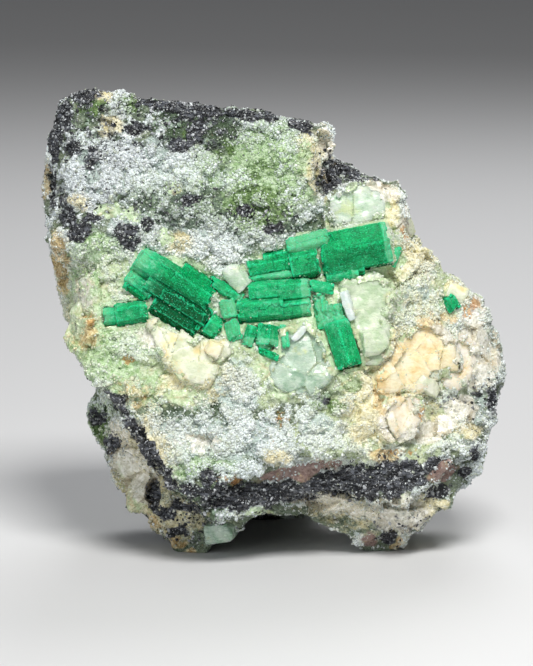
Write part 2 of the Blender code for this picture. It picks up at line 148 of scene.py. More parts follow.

# %% [markdown]
# ## Where each mineral shows
# The crust is a patchwork. Dark schist runs along the top edge and in a band under the slab, a green
# flush spreads over the upper block, cream and rust follow the old cracks. Each patch is one oval on
# the face: (x, z, half width, half height, rise in degrees), in mm. A sixth number is
# how strongly it shows, and below a half it breaks up into speckles. The edges are made ragged later,
# so that nothing of the oval is left.

# %% Patches of mineral on the face
PATCHES = {
    "fair": [
        (-22, 38, 16, 12, 0), (-10, 27, 12, 7, 0, 0.5), (4, 36, 18, 12, 0), (22, 36, 13, 16, 0),
        (15, 52, 6, 8, 0), (16, 20, 14, 6, 0), (-12, 20, 9, 4, 0, 0.4),
    ],
    # Murk is dark olive-grey rock. The oval at the right-hand edge, x 36, is painted shade where the stone
    # turns from the light. Those on the feet and at x 31, z 25 are partly that rock and partly painted
    # shade, under the overhang and between blocks.
    "murk_and_shade": [
        (36, 34, 2, 7, 0, 0.5), (33, 31, 3, 2, 20, 0.4), (-21.5, 26.5, 6, 3.5, 0, 0.62),
        (-13, 24.5, 6, 3, 0, 0.66), (-31, 37, 3, 6, 0, 0.35), (-27, 43, 5, 4, 0, 0.2),
        (-12, 25, 4, 3, 0, 0.5), (-21, 56, 4, 3, 0, 0.9), (-12, 55.5, 5, 3.5, 0, 1),
        (-4, 55.5, 5, 4, 0, 1), (-12, 69, 9, 5, -6, 0.8), (-30, 69, 6, 4, 0, 0.45),
        (-14, 56, 10, 3.5, 0, 0.85), (-1, 55, 9, 4.5, 0, 1), (-20, 51, 8, 2, 0, 0.7),
        (-9, 65, 5, 4, 0, 0.6), (2, 63, 6, 6, 0, 0.45), (-18, 24, 5, 3, 0, 0.5), (-15, 8, 8, 5, 0, 0.9),
        (31, 25, 5, 4, 0, 0.25), (-27, 22, 4, 5, 0, 0.2), (8, 26, 4, 2, 0, 0.6), (-18, 5, 5, 5, 0, 0.9),
        (6, 6, 12, 3, 0, 0.5), (-8, 30, 5, 4, 0, 0.3),
    ],
    "schist": [
        (4.4, 71.2, 3.4, 1.4, -14), (-33.5, 57, 1.2, 2, 0, 0.6), (2, 11, 12, 2.2, 10),
        (17, 12.6, 9, 2.6, 10), (-6.5, 10.6, 6, 1.6, 8), (-19.6, 17.6, 8, 0.9, -56),
        (-26, 67, 10, 8, 0, 0.42), (-12, 69, 8, 5, -6, 0.48), (-28, 60, 7, 6, 0, 0.38),
        (-2, 54, 9, 3.5, 0, 0.36), (-16, 56, 9, 4, 0, 0.36), (30, 25, 5, 3, 10, 0.26),
        (-12, 6, 5, 5, 0, 0.4), (24, 5, 9, 3, 0, 0.36), (-27, 19, 4, 6, 0, 0.15),
        (12, 60.5, 6, 3, -25, 0.48), (-30.8, 73.8, 3, 1.5, -8), (-33.8, 70.2, 2.2, 2.7, 10),
        (-35.1, 66.4, 1, 3.2, 0), (-20.6, 72.5, 2.2, 1, -5), (-13.4, 71.7, 6, 1.6, -6),
        (-3.9, 70.4, 4.8, 0.8, -6), (-22, 68.3, 1.6, 1.1, 0), (-15, 65.6, 2, 1.4, 0),
        (-12.6, 67.8, 1.1, 2.9, -20), (-31.8, 65.1, 1.5, 1.3, 0), (-28.6, 63.8, 1.4, 1.4, 0),
        (4, 68.8, 2.2, 1, -20), (-32.6, 53.9, 1.5, 1.5, 0), (-29, 53.9, 1.8, 0.8, 0),
        (-30.8, 51.8, 2.2, 1.4, 0), (-23.4, 51.7, 2, 1.3, 0), (-20, 53.3, 1.4, 1.4, 0),
        (-13.5, 57, 1.3, 1.3, 0), (-22.5, 50, 2, 1, 0), (8.6, 60.3, 2.1, 2.6, 0),
        (11.3, 62.2, 3.2, 1.3, -30), (13.7, 60.2, 1.6, 1, 0), (16.7, 60, 0.8, 0.6, 0),
        (-4.6, 55.2, 1.4, 1.3, 0), (-0.2, 52.3, 1.6, 1.1, 0), (-15.4, 21.8, 1, 0.7, 0, 0.6),
        (-24.7, 24.8, 2.6, 0.9, -50), (-21.8, 20, 3, 0.9, -57), (-19.6, 16.2, 3, 0.9, -57),
        (-17, 12.6, 2.6, 1, -52), (-13.2, 11.2, 2, 1.3, 0), (-10.3, 13, 1.4, 1.1, 0),
        (-14.2, 8, 2.6, 1.1, 0), (-7.9, 9.4, 3.8, 1.4, 10), (-3.8, 11.2, 2.2, 1.3, 0),
        (2.5, 11, 4.2, 1.6, 12), (9.4, 12.8, 6.4, 1.9, 12), (18.2, 12.8, 5.4, 3, 8),
        (24.9, 14.2, 3.8, 1.6, 20), (31.9, 16.8, 0.8, 1.4, 0), (30.2, 13.4, 1, 1, 0),
        (25.8, 10.6, 2.2, 1.1, 20), (18.5, 3.2, 1.4, 0.8, 0), (-28.7, 22.2, 1.4, 1.4, 0),
        (-26.5, 17.8, 1.3, 1.4, 0), (-19.4, 9.4, 1.1, 2.7, 0), (-17.7, 7, 1.9, 1, 0),
        (-15.8, 3.7, 1.9, 0.8, 0), (-35.3, 59.5, 0.5, 3.8, 0), (34.8, 25.1, 0.9, 3.6, 0, 0.8),
        (32, 26, 1.8, 0.8, 20, 0.6), (28, 25.4, 1.8, 0.6, 20, 0.5), (8.2, 25.4, 1.6, 0.8, 0, 0.5),
    ],
    "green": [
        (3.4, 57.4, 3, 2.6, 0, 0.75), (-4, 54.4, 3, 1.8, 0, 0.6), (-12, 55.6, 3, 2, 0, 0.45),
        (-21.5, 27, 6, 4, 0, 0.55), (-31, 35, 4, 5, 0, 0.5), (-28, 38, 6, 10, 0, 0.52),
        (-19, 33, 10, 6, 0, 0.45), (-12, 15, 8, 4, 0, 0.40), (9, 42, 15, 8, 0, 0.52),
        (15, 50, 7, 4, 0, 0.5), (-3, 60, 9, 9, 0, 0.5), (-16, 58, 8, 5, 0, 0.34), (-0.7, 62.9, 6.4, 7, 0),
        (-28.4, 48.8, 3.8, 2.9, 0), (-28.7, 33.1, 4.5, 4.8, 0), (-27, 30, 6, 1.9, 0),
        (19.3, 47.8, 1.1, 1.8, 0), (-12.7, 14.9, 5, 1.4, 10), (-30, 44, 2.5, 4, 0), (10.5, 30, 2, 1.5, 0),
    ],
    "olive": [
        (-3.5, 56, 5, 3.5, 0, 0.8), (-10, 62, 3, 5, 0, 0.4), (-2, 62, 3, 2, 0, 0.5),
        (8, 25, 3, 2, 0, 0.5), (-3.9, 60.3, 1.3, 0.8, 0), (-2.2, 58.4, 1.9, 1, 0),
        (4.1, 57.1, 1.1, 0.8, 0), (1.5, 57.3, 1.6, 1.4, 0), (-4.6, 55.4, 1.6, 1.9, 0),
        (1.5, 54.9, 1.3, 1.3, 0), (-7, 65, 0.8, 1.6, 0), (-28.4, 71.7, 2.2, 1.3, 0),
        (-23, 72, 1.4, 1.3, 0), (-13.4, 67.4, 1, 1, 0), (10.8, 29.4, 1.6, 1, 0),
        (11.8, 27.7, 1.8, 1.4, 0), (9.8, 24.3, 1.8, 0.8, 0), (-28.7, 21.3, 2.2, 3.7, 0),
    ],
    "cream": [
        (-21.5, 12.3, 3, 3, 0, 0.9), (-25, 19, 2.4, 3, 0, 0.7), (10.6, 8, 3, 2, 0, 0.7),
        (6.6, 63, 1.5, 5, 0, 0.9), (21, 47, 4, 5, -40, 0.7), (-29, 40, 4, 5, 0, 0.4), (-21, 14, 5, 8, 0),
        (-16, 6, 5, 4, 0, 0.75), (-31, 36, 4, 6, 0, 0.7), (-21.5, 27, 6, 3.5, 0, 0.4),
        (17, 31, 9, 7, -30, 0.8), (17, 24, 5, 7, -20, 0.7), (-13, 29, 8, 4, 0, 0.5),
        (14, 26, 4, 8, 0, 0.62), (22, 47, 4, 7, -50, 0.62), (22, 42, 6, 5, 0, 0.45),
        (25, 22, 7, 4, 0, 0.5), (-28, 42, 6, 6, 0, 0.36), (-25, 14, 5, 9, 0, 0.5),
        (15, 7, 12, 5, 0, 0.45), (-27.4, 73.4, 1.8, 1.1, 0), (-25.7, 68.6, 2.1, 1.8, 0),
        (-31.4, 56.6, 2.2, 1.3, 0), (-15, 50, 2.2, 1.8, 0), (4.9, 64.5, 1.4, 3.2, 0),
        (7.6, 67.2, 0.8, 1.8, 0), (18.6, 56, 1.4, 3.2, 0), (-14, 27.5, 6, 3, 0, 0.7),
        (0.2, 16.3, 2.2, 1.1, 0), (13.8, 20.3, 1.8, 1.8, 0), (14.5, 23.4, 1.3, 1.6, 0),
        (14.5, 27.5, 1.6, 2.4, 0), (24.4, 27.2, 2.1, 1.8, 0), (24.4, 8, 2.2, 1.8, 0),
        (27.3, 8.6, 1, 1, 0), (10.5, 8.3, 7.2, 1.6, -12), (29, 42.4, 1.8, 2.1, 0),
        (30.8, 20.3, 2.4, 1.1, 0), (-25, 19.2, 1.8, 2.9, 0), (-22, 14.4, 2.2, 4.5, 0),
        (22.5, 49, 2, 3, -50), (13, 31, 1.6, 3, 0),
    ],
    "amber": [
        (24.6, 36.4, 3, 2.6, -30, 0.9), (-24, 11, 1.6, 4, 25, 0.7), (-30.5, 36, 3, 3, 0, 0.55),
        (-22, 26, 4, 2.5, -30, 0.5), (-23, 12, 2, 6, 20, 0.6), (17.4, 16.3, 2.2, 1, 0),
        (16.7, 25.4, 1.1, 2.6, 0), (-34.5, 47.2, 1.8, 5, 0), (-36.7, 60.6, 1, 3.4, 0),
        (-16.2, 1.9, 1.6, 1, 0), (-13.7, 0.5, 1, 0.5, 0), (-19.6, 5.1, 1.6, 0.8, -40),
        (19.6, 1.9, 1.1, 0.8, 0), (-29.2, 37.6, 0.8, 0.8, 0), (-29.8, 35.5, 1.6, 1.2, 0),
        (27.9, 38.2, 1.1, 1, 0), (-21.5, 12, 1.2, 3.5, 20), (18.9, 22.7, 1.6, 3.4, -20),
    ],
    "rust": [
        (20.6, 51.5, 0.5, 1.3, 0), (1, 22.2, 1.4, 1.2, 0, 0.5), (-0.4, 18.6, 0.6, 0.5, 0, 0.6),
        (-6.3, 12.6, 1, 0.6, 0), (-9, 12.6, 1, 0.5, 0), (23.2, 22.9, 0.5, 1.9, -30), (32, 40.3, 1, 1, 0),
        (30.6, 39.2, 1, 1, 0), (-29.2, 37.4, 0.7, 0.8, 0), (19.5, 17.2, 2.4, 0.3, 15, 0.7),
        (-22.8, 31.5, 0.8, 0.5, 0),
    ],
    "sugar": [
        (33, 23.5, 3, 3, 0, 0.7), (-29.5, 47.4, 3.4, 2.6, 0, 0.8), (-9, 17.6, 4, 2.4, 0),
        (31, 37, 4, 4, 0, 0.7), (-23, 71.6, 2, 1, 0, 0.6), (-26, 62, 7, 4.5, 0), (-16, 62.5, 6, 3, 0),
        (-4, 51.8, 8, 2, 5), (-14, 51.6, 7, 1.8, 0), (2, 55, 4, 3, 0, 0.6), (-12, 19, 9, 4, -8),
        (-9, 18, 6, 3, 0), (-20, 62, 6, 4, 0), (-18, 65, 3, 2, 0), (-31, 62.4, 2.6, 1.6, 0),
        (-19, 60.8, 3.8, 1.4, 0), (-28.6, 57.8, 1.9, 1.3, 0), (-3.9, 69.4, 3, 1.3, 0),
        (3.1, 66, 1.9, 1.6, 0), (-12, 53, 14.4, 4.5, 0), (-16.7, 60.3, 9.6, 4, 0),
        (-12.2, 17.8, 7.4, 3.2, 8), (-2.6, 19.4, 3.2, 3.2, 0), (7.3, 20.8, 3.4, 2.2, 0),
        (20.4, 39.8, 3.5, 3.5, 0), (23, 42.4, 2.4, 2.4, 0), (22.8, 46.4, 2.7, 2.7, 0),
        (25.2, 38, 1.4, 1.1, 0), (-6, 27, 3.2, 4.5, 0), (20, 22.5, 1.6, 2.4, 0),
    ],
    "glass": [
        (9, 35, 7, 8, 10), (14, 42, 6, 5, 0), (2, 30.5, 5, 5, 0), (-6.5, 39, 2.4, 6, 0),
        (14, 47, 5, 2, 0), (-4.5, 45, 3, 1.6, 0), (5, 50.5, 4, 1.4, 10), (-23, 12, 3, 7, 15, 0.6),
        (-8.6, 3.8, 2.7, 1.8, 0), (-26.6, 55.2, 2.1, 1.1, 0), (-23, 54.6, 1.8, 1.1, 0),
        (-17.2, 51, 1.3, 1.3, 0), (-14, 25.9, 3.2, 1.3, 0), (20.2, 8.3, 1.3, 2.1, 0),
        (-2.5, 7.2, 2.2, 1, 0), (-25, 14.9, 1.3, 1.6, 0), (-16, 58.7, 1.8, 1.2, 0), (16, 39, 3, 6, 0),
        (4, 31, 4, 5, 0), (13, 56, 4, 2.6, 0), (-31.5, 38, 1.5, 3, 0),
    ],
    "milk": [
        (-22, 13, 3, 5.4, 20, 0.85), (-25.4, 20, 2, 3, 10, 0.6), (7.8, 61, 1, 4, 0, 0.7),
        (24, 46, 2, 3, -40, 0.6), (-30, 42, 2, 4, 0, 0.6), (20, 7, 5, 3.5, 0, 0.8),
        (-11, 18.5, 6, 2.4, -8, 0.6), (-24.5, 17, 2.6, 6, 10, 0.7), (10, 8.4, 8, 1.6, -10, 0.8),
        (21.5, 54, 2, 4, -25, 0.7), (-18, 34.5, 4, 1.4, -20), (32.5, 32.8, 4.2, 5.8, 0),
        (26.5, 34, 3.2, 3.2, 0), (20, 22, 3.5, 3.5, 0), (30, 23.7, 2.7, 2.1, 0), (25, 20.3, 4.8, 1.6, 15),
        (32, 39, 2, 3, 0), (17, 58.6, 3, 1.4, -20), (8.5, 66, 1.2, 3, 0),
    ],
    "brown": [
        (4.1, 14.0, 7.0, 1.3, 12), (26.8, 13.8, 2.6, 1.4, 25), (15.1, 2.6, 1.6, 1.6, 0),
    ],
}
print({name: len(ovals) for name, ovals in PATCHES.items()})

# %% Reading the patches at any place
EDGE = 0.55  # share of an oval's size over which it fades out


def noise_at(places, size, octaves=3, shift=0.0, stretch=(1.0, 1.0, 1.0)):
    """Layered noise of about -1 to 1, with lumps of this size in mm. Another shift gives other lumps."""
    step = np.array(stretch) / size
    return np.array([noise.fractal(Vector(p), 1.0, 2.0, octaves) for p in places * step + shift])


def fade(values, low, high):
    """0 below low, 1 above high and smooth between. With low above high it falls instead."""
    t = np.clip((values - low) / (high - low), 0.0, 1.0)
    return t * t * (3.0 - 2.0 * t)


def patch_at(places, ovals):
    """How strongly a mineral shows at each place of the face, from 0 to 1."""
    strength = np.zeros(len(places))
    for x, z, wide, tall, rise, *share in ovals:
        turn = math.radians(rise)
        across, up = places[:, 0] - x, places[:, 2] - z
        along = (across * math.cos(turn) + up * math.sin(turn)) / wide
        over = (up * math.cos(turn) - across * math.sin(turn)) / tall
        reach = fade(np.hypot(along, over), 1.0 + EDGE, 1.0 - EDGE)
        strength = np.maximum(strength, reach * (share[0] if share else 1.0))
    return strength


# %% The strength of each mineral
WANDER = 0.9  # mm by which a patch's outline strays


def minerals_at(places, normals):
    """The strength of every mineral at each place: from the listed ovals on the face, in layers on the sides
    and back.
    """
    strayed = places.copy()
    strayed[:, 0] += noise_at(places, 2.2, 2, 40.0) * WANDER
    strayed[:, 2] += noise_at(places, 2.2, 2, 90.0) * WANDER
    out = normals @ np.array(OUTWARD)
    front = fade(out, -0.15, 0.25) * fade(places[:, 1], 17.0, 10.0)
    beds = noise_at(places, 26.0, 5, 7.0, (0.8, 0.8, 1.5))
    layers = beds + 0.22 * noise_at(places, 4.0, 3, 11.0, (0.35, 0.35, 2.4))
    stains = noise_at(places, 12.0, 4, 21.0)
    veins = noise_at(places, 8.0, 4, 33.0, (0.8, 0.8, 1.3))
    behind = {
        "fair": 0.4 * fade(stains, -0.2, 0.2),
        "murk_and_shade": 0.55 * fade(layers, -0.3, 0.1),
        "schist": 0.8 * fade(layers, -0.12, 0.16),
        "green": 0.45 * fade(veins, 0.1, 0.5),
        "olive": 0.3 * fade(-veins, 0.2, 0.5),
        "cream": 0.6 * fade(stains, 0.0, 0.4) * fade(layers, 0.1, -0.1),
        "amber": 0.45 * fade(-stains, 0.25, 0.5) * fade(layers, 0.1, -0.1),
        "rust": 0.5 * fade(stains, 0.4, 0.6),
        "sugar": 0.8 * fade(-layers, 0.0, 0.35),
        "glass": fade(veins, -0.35, -0.2) * fade(veins, 0.1, -0.1) * 0.3,
        "milk": 0.7 * fade(-layers, 0.3, 0.5),
        "brown": 0.35 * fade(-veins, 0.3, 0.5),
    }
    found = {name: front * patch_at(strayed, ovals) + (1.0 - front) * behind[name]
             for name, ovals in PATCHES.items()}
    found["front"] = front
    return found


def clump_at(places, minerals):
    """From 0 in the gaps of the crust to 1 on its clumps of sugar."""
    wild = noise_at(places, 3.4, 3, 63.0) + 0.5 * noise_at(places, 1.2, 2, 19.0)
    pull = 0.2 * minerals["sugar"] - 0.24 * minerals["murk_and_shade"] - 0.08 * minerals["green"]
    return fade(wild + pull, -0.09, 0.13)

# %% [markdown]
# ## The stone's rough skin
# Broken rock has relief at every scale: blocky fractures a centimetre across, lumps of a millimetre or
# two where the crust has grown, and sugar-sized grains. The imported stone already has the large
# fractures. A copy of it is remeshed on a fine grid, the ledge above the left-hand bulge is eased, and
# the finer relief is added by height, each point moving along its own normal. Sculpting by hand could
# do the same, but heights worked out from noise can be repeated and tuned.

# %% Bench helpers
def alone(obj):
    """Leaves just this object selected and active, because an operator acts on all that is selected."""
    bpy.ops.object.select_all(action="DESELECT")
    obj.select_set(True)
    bpy.context.view_layer.objects.active = obj


def apply_modifier(obj, kind, name, **settings):
    alone(obj)
    bpy.ops.object.modifier_add(type=kind)
    made = obj.modifiers[-1]
    made.name = name
    for key, value in settings.items():
        setattr(made, key, value)
    bpy.ops.object.modifier_apply(modifier=name)


def working_copy(node, name):
    """A copy of a CAD node's mesh as a new piece, with its loose triangles merged."""
    made = bpy.data.objects.new(name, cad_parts[node].data.copy())
    scene.collection.objects.link(made)
    made.data.materials.clear()
    alone(made)
    bpy.ops.object.mode_set(mode="EDIT")
    bpy.ops.mesh.select_all(action="SELECT")
    bpy.ops.mesh.remove_doubles(threshold=1e-6)
    bpy.ops.object.mode_set(mode="OBJECT")
    return made


def points_of(obj):
    found = np.empty(len(obj.data.vertices) * 3, np.float32)
    obj.data.vertices.foreach_get("co", found)
    return found.reshape(-1, 3).astype(float)


def normals_of(obj):
    found = np.empty(len(obj.data.vertices) * 3, np.float32)
    obj.data.vertex_normals.foreach_get("vector", found)
    return found.reshape(-1, 3).astype(float)


def weigh(obj, name, weights):
    """A vertex group with these weights."""
    group = obj.vertex_groups.new(name=name)
    for index, weight in enumerate(weights):
        group.add([index], float(weight), "REPLACE")


def lift(obj, heights):
    """Moves every point along its normal by its own height in mm."""
    moved = points_of(obj) + normals_of(obj) * heights[:, None] * MM
    obj.data.vertices.foreach_set("co", moved.astype(np.float32).ravel())
    obj.data.update()


def keep_on_points(obj, name, values):
    """Stores one number for each point, for the material to read by name."""
    held = obj.data.attributes.new(name, "FLOAT", "POINT")
    held.data.foreach_set("value", np.asarray(values, np.float32))


def triangles(obj):
    return sum(len(face.vertices) - 2 for face in obj.data.polygons)


# %% The stone on a fine grid
STONE_GRID = 0.32  # mm
crystal_nodes = sorted(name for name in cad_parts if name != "matrix_rock")


def bed_of(node, grow, sink):
    """A copy of a crystal, made larger and pushed into the stone, which fills the room behind it."""
    bed = working_copy(node, "bed_" + node)
    apply_modifier(bed, "REMESH", "coarse grid", mode="VOXEL", voxel_size=STONE_GRID * MM)
    apply_modifier(bed, "DISPLACE", "grow", mid_level=0.0, strength=grow * MM)
    alone(bed)
    bpy.ops.object.mode_set(mode="EDIT")
    bpy.ops.mesh.select_all(action="SELECT")
    bpy.ops.transform.translate(value=-OUTWARD * sink * MM)
    bpy.ops.object.mode_set(mode="OBJECT")
    return bed


EMERALD_BED, PALE_BED = (0.6, 1.5), (0.9, 1.0)  # (growth, depth) in mm
rock = working_copy("matrix_rock", "stone")
beds = [bed_of(node, *(EMERALD_BED if node.startswith("emerald") else PALE_BED)) for node in crystal_nodes]
alone(rock)
for bed in beds:
    bed.select_set(True)
bpy.ops.object.join()
apply_modifier(rock, "REMESH", "fine grid", mode="VOXEL", voxel_size=STONE_GRID * MM)
print("Stone on its grid:", triangles(rock), "triangles")

# %% Easing the ledge and the CAD facets
LEDGES = [  # ovals, like the patches
    (-31, 49, 6, 4, 0), (-24, 49, 6, 3, 0), (-16, 48.5, 8, 2, 0), (-5, 47.8, 8, 1.6, 5), (-33, 44, 3, 6, 0),
]
places = face_places(points_of(rock))
on_ledge = patch_at(places, LEDGES) * fade(normals_of(rock) @ np.array(OUTWARD), -0.7, -0.2)
weigh(rock, "ledge", on_ledge)
apply_modifier(rock, "SMOOTH", "ease ledge", factor=0.5, iterations=120, vertex_group="ledge")
apply_modifier(rock, "SMOOTH", "ease facets", factor=0.5, iterations=6)
rock.vertex_groups.clear()

# %% [markdown]
# The relief follows the minerals. Sugary crust is lumpy and pitted, schist splits into thin flakes, and
# a face of clean feldspar or glassy quartz stays nearly flat, with only a few cleavage steps. So the
# heights are mixed from the same patches that the colours use.

# %% Distance to the crystals
def tree_of(names):
    """A search tree over the faces of several CAD nodes together."""
    corners, faces = [], []
    for name in names:
        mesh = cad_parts[name].data
        first = len(corners)
        corners += [vert.co.copy() for vert in mesh.vertices]
        faces += [[first + index for index in face.vertices] for face in mesh.polygons]
    return BVHTree.FromPolygons(corners, faces)


def away_from(tree, points, reach=4.0):
    """The distance in mm from each point to a search tree, no more than reach."""
    found_at = [tree.find_nearest(Vector(p), reach * MM)[3] for p in points]
    return np.array([reach if d is None else d / MM for d in found_at])


pale_nodes = [name for name in crystal_nodes if not name.startswith("emerald")]
emerald_tree = tree_of([name for name in crystal_nodes if name.startswith("emerald")])
pale_tree = tree_of(pale_nodes)
crystal_tree = tree_of(crystal_nodes)


def ring_with_glass(found, places, gap):
    """Glassy quartz shows in broken rings round the crystals. gap is the distance to them in mm."""
    broken = fade(noise_at(places, 1.8, 2, 5.0), -0.1, 0.15)
    found["glass"] = np.maximum(found["glass"], 0.8 * fade(gap, 1.6, 0.5) * broken)


# %% Flat facets
def tilted_facets(places, size, shift):
    """Flat facets about size mm across, each with its own tilt: heights in mm, and 1 on their seams."""
    heights, seams = np.empty(len(places)), np.empty(len(places))
    for index, p in enumerate(places / size + shift):
        reach, middles = noise.voronoi(Vector(p))
        tilt = noise.cell_vector(middles[0] * 7.3) - Vector((0.5, 0.5, 0.5))
        heights[index] = tilt.dot(Vector(p) - middles[0])
        seams[index] = reach[1] - reach[0]
    return heights * size, fade(seams * size, 0.3, 0.02)


# %% Fine relief
places, normals = face_places(points_of(rock)), normals_of(rock)
found = minerals_at(places, normals)
gap = away_from(crystal_tree, points_of(rock))
ring_with_glass(found, places, gap)
sleek = [found["glass"], found["milk"], found["brown"], 0.6 * found["amber"], 0.6 * found["cream"]]
smooth = np.clip(np.maximum.reduce(sleek), 0, 1)
flaky = np.clip(found["schist"], 0, 1) * (1 - smooth)
crusty = np.clip(1 - smooth - 0.6 * flaky, 0, 1)
gritty = crusty * (1 - 0.5 * found["fair"])  # the clean zone round the belt is less gritty

cells = np.array([noise.voronoi(Vector(p))[0][0] for p in places / 1.15])
grains = noise_at(places, 0.8, 2, 3.0)
knots = noise_at(places, 1.4, 2, 83.0)
lumps = noise_at(places, 2.6, 3, 11.0)
FOLIATION = math.radians(-34.0)  # the slab's layers fall to the right
along = places[:, 0] * math.cos(FOLIATION) + places[:, 2] * math.sin(FOLIATION)
over = places[:, 2] * math.cos(FOLIATION) - places[:, 0] * math.sin(FOLIATION)
layered = noise_at(np.stack([along, places[:, 1], over], 1), 1.5, 3, 71.0, (0.22, 0.6, 1.0))
slab = fade(places[:, 2], 50.0, 44.0) * fade(places[:, 2], 12.0, 18.0) * fade(places[:, 0], -2.0, -10.0)
lumps = lumps * (1 - 0.6 * slab) + 0.8 * layered * slab
flakes = np.abs(noise_at(places, 2.4, 3, 17.0, (0.6, 1.0, 2.2)))
swells = noise_at(places, 7.0, 2, 29.0)
steps = noise_at(places, 3.2, 1, 51.0)
steps = np.round(steps * 5.0) / 5.0  # cleavage leaves flat treads
facets, seams = tilted_facets(places, 4.4, 13.0)
clean = np.clip(found["milk"] + found["amber"] + found["cream"], 0, 1)

SWELL, LUMP, CLUMP, PIT, KNOT = 0.45, 0.40, 0.55, 0.34, 0.30  # mm of relief on the crust
GRIT, SCALY_GRIT, CLEAN_GRIT = 0.13, 0.12, 0.06  # mm on the crust, the schist and the clean faces
SPLIT, STEP, RAGGED_RIM = 0.70, 0.25, 0.90  # mm on the schist, the clean faces and the rims of crystals
heights = (
    SWELL * swells
    + gritty * (PIT * (0.5 - cells) + GRIT * grains + KNOT * knots)
    + crusty * (LUMP * lumps + CLUMP * (clump_at(places, found) - 0.5))
    + flaky * (SPLIT * (0.35 - flakes) + SCALY_GRIT * grains)
    + smooth * (STEP * steps + CLEAN_GRIT * grains)
    + (0.15 + 0.75 * clean) * facets
)
heights *= 0.45 + 0.55 * found["front"]  # weathering has worn the outside smoother
heights *= 0.2 + 0.8 * fade(gap, 0.3, 1.6)
beside_pale = fade(away_from(pale_tree, points_of(rock), 1.2), 1.1, 0.3)
heights += RAGGED_RIM * beside_pale * fade(noise_at(places, 1.7, 2, 57.0), -0.12, 0.2)
heights *= fade(points_of(rock)[:, 2] / MM, 0.0, 1.5)  # the ground feet stay flat
lift(rock, heights)
print("Relief in mm:", round(float(heights.min()), 2), "to", round(float(heights.max()), 2))

# %% Pressing the stone clear of the crystals' faces
SIDEWAYS, UPWARDS = Vector((1, 0, 0)), OUTWARD.cross(Vector((1, 0, 0)))
AHEAD = 0.6  # mm in front of the point where a ray starts
CLEAR = 0.45  # mm behind the crystal's face where the stone ends up
RIM = 0.7  # mm by which the crust may lap over a pale crystal


def depth_to(tree, point, margin):
    """How deep in mm a crystal's face lies behind this point, or 0 if it ends within margin on any side."""
    found_at = []
    for across, up in ((0, 0), (margin, 0), (-margin, 0), (0, margin), (0, -margin)):
        start = point + (SIDEWAYS * across + UPWARDS * up + OUTWARD * AHEAD) * MM
        _, facing, _, depth = tree.ray_cast(start, -OUTWARD, 0.004)
        if depth is None or facing.dot(OUTWARD) < 0.1:
            return 0.0
        found_at.append(depth / MM)
    return max(found_at[0] - AHEAD + CLEAR, 0.0)


rough_points = points_of(rock)
press = np.array([max(depth_to(emerald_tree, Vector(p), 0.0), depth_to(pale_tree, Vector(p), RIM))
                  for p in rough_points])
rough_points -= np.array(OUTWARD)[None] * press[:, None] * MM
rock.data.vertices.foreach_set("co", rough_points.astype(np.float32).ravel())
rock.data.update()
print("Points pressed clear of the crystals:", int((press > 0).sum()))
seam_tree = KDTree(len(rough_points))
for index, p in enumerate(rough_points):
    seam_tree.insert(p, index)
seam_tree.balance()

# %% Thinning the stone where nothing is fine
STONE_FACES = 196_000
apply_modifier(rock, "DECIMATE", "thin", ratio=STONE_FACES / triangles(rock))
places, normals = face_places(points_of(rock)), normals_of(rock)
found = minerals_at(places, normals)
gap = away_from(emerald_tree, points_of(rock))
found["bed"] = 0.5 * fade(gap, 1.2, 0.3)
gap = away_from(crystal_tree, points_of(rock))
for name in ("schist", "murk_and_shade"):
    found[name] = found[name] * fade(gap, 0.4, 1.4)
found["schist"] = found["schist"] * (1 - 0.9 * found["brown"])
found["clump"] = clump_at(places, found)
found["seam"] = seams[[seam_tree.find(p)[1] for p in points_of(rock)]]
ring_with_glass(found, places, gap)
for name, values in found.items():
    keep_on_points(rock, name, values)
print("Stone:", triangles(rock), "triangles")

# %% [markdown]
# ## Building blocks for the materials
# Several minerals share the same few effects: a patch with a ragged edge, sugar-like grains, healed
# cracks, growth lines along a crystal. Each is made once as a node group with named inputs and
# outputs, and every material places it with its own values. The groups only give masks and heights.
# The shaders stay in the materials.

# %% Node helpers
def srgb(red, green, blue):
    """A colour picked on a screen, 0 to 255, as the linear value that a shader takes."""
    lin = [v / 255 / 12.92 if v <= 10 else ((v / 255 + 0.055) / 1.055) ** 2.4 for v in (red, green, blue)]
    return (*lin, 1.0)


def plug(tree, socket, value):
    """Gives a socket a constant, or links another node's output to it."""
    if isinstance(value, bpy.types.NodeSocket):
        tree.links.new(value, socket)
    else:
        socket.default_value = value


def fill(tree, node, **inputs):
    """Fills a node's inputs by name, with _ for a space."""
    for name, value in inputs.items():
        plug(tree, node.inputs[name.replace("_", " ")], value)
    return node


def put(tree, kind, settings=None, **inputs):
    """Adds a node of this kind with its settings and inputs."""
    made = tree.nodes.new("ShaderNode" + kind)
    for key, value in (settings or {}).items():
        setattr(made, key, value)
    return fill(tree, made, **inputs)


def sums(tree, operation, first, second=0.0, third=0.0):
    """The result of one arithmetic node."""
    made = tree.nodes.new("ShaderNodeMath")
    made.operation = operation
    for socket, value in zip(made.inputs, (first, second, third)):
        plug(tree, socket, value)
    return made.outputs[0]


def times(tree, first, second):
    return sums(tree, "MULTIPLY", first, second)


def times_plus(tree, first, second, third):
    """first * second + third."""
    return sums(tree, "MULTIPLY_ADD", first, second, third)


def span(tree, value, low, high, to_low=0.0, to_high=1.0):
    """Smoothly maps low..high to to_low..to_high."""
    made = put(tree, "MapRange", {"interpolation_type": "SMOOTHSTEP"}, Value=value)
    for key, number in (("From Min", low), ("From Max", high), ("To Min", to_low), ("To Max", to_high)):
        plug(tree, made.inputs[key], number)
    return made.outputs["Result"]


def tint(tree, amount, first, second, blend="MIX"):
    """Mixes two colours."""
    made = tree.nodes.new("ShaderNodeMix")
    made.data_type = "RGBA"
    made.blend_type = blend
    for index, value in ((0, amount), (6, first), (7, second)):
        plug(tree, made.inputs[index], value)
    return made.outputs[2]


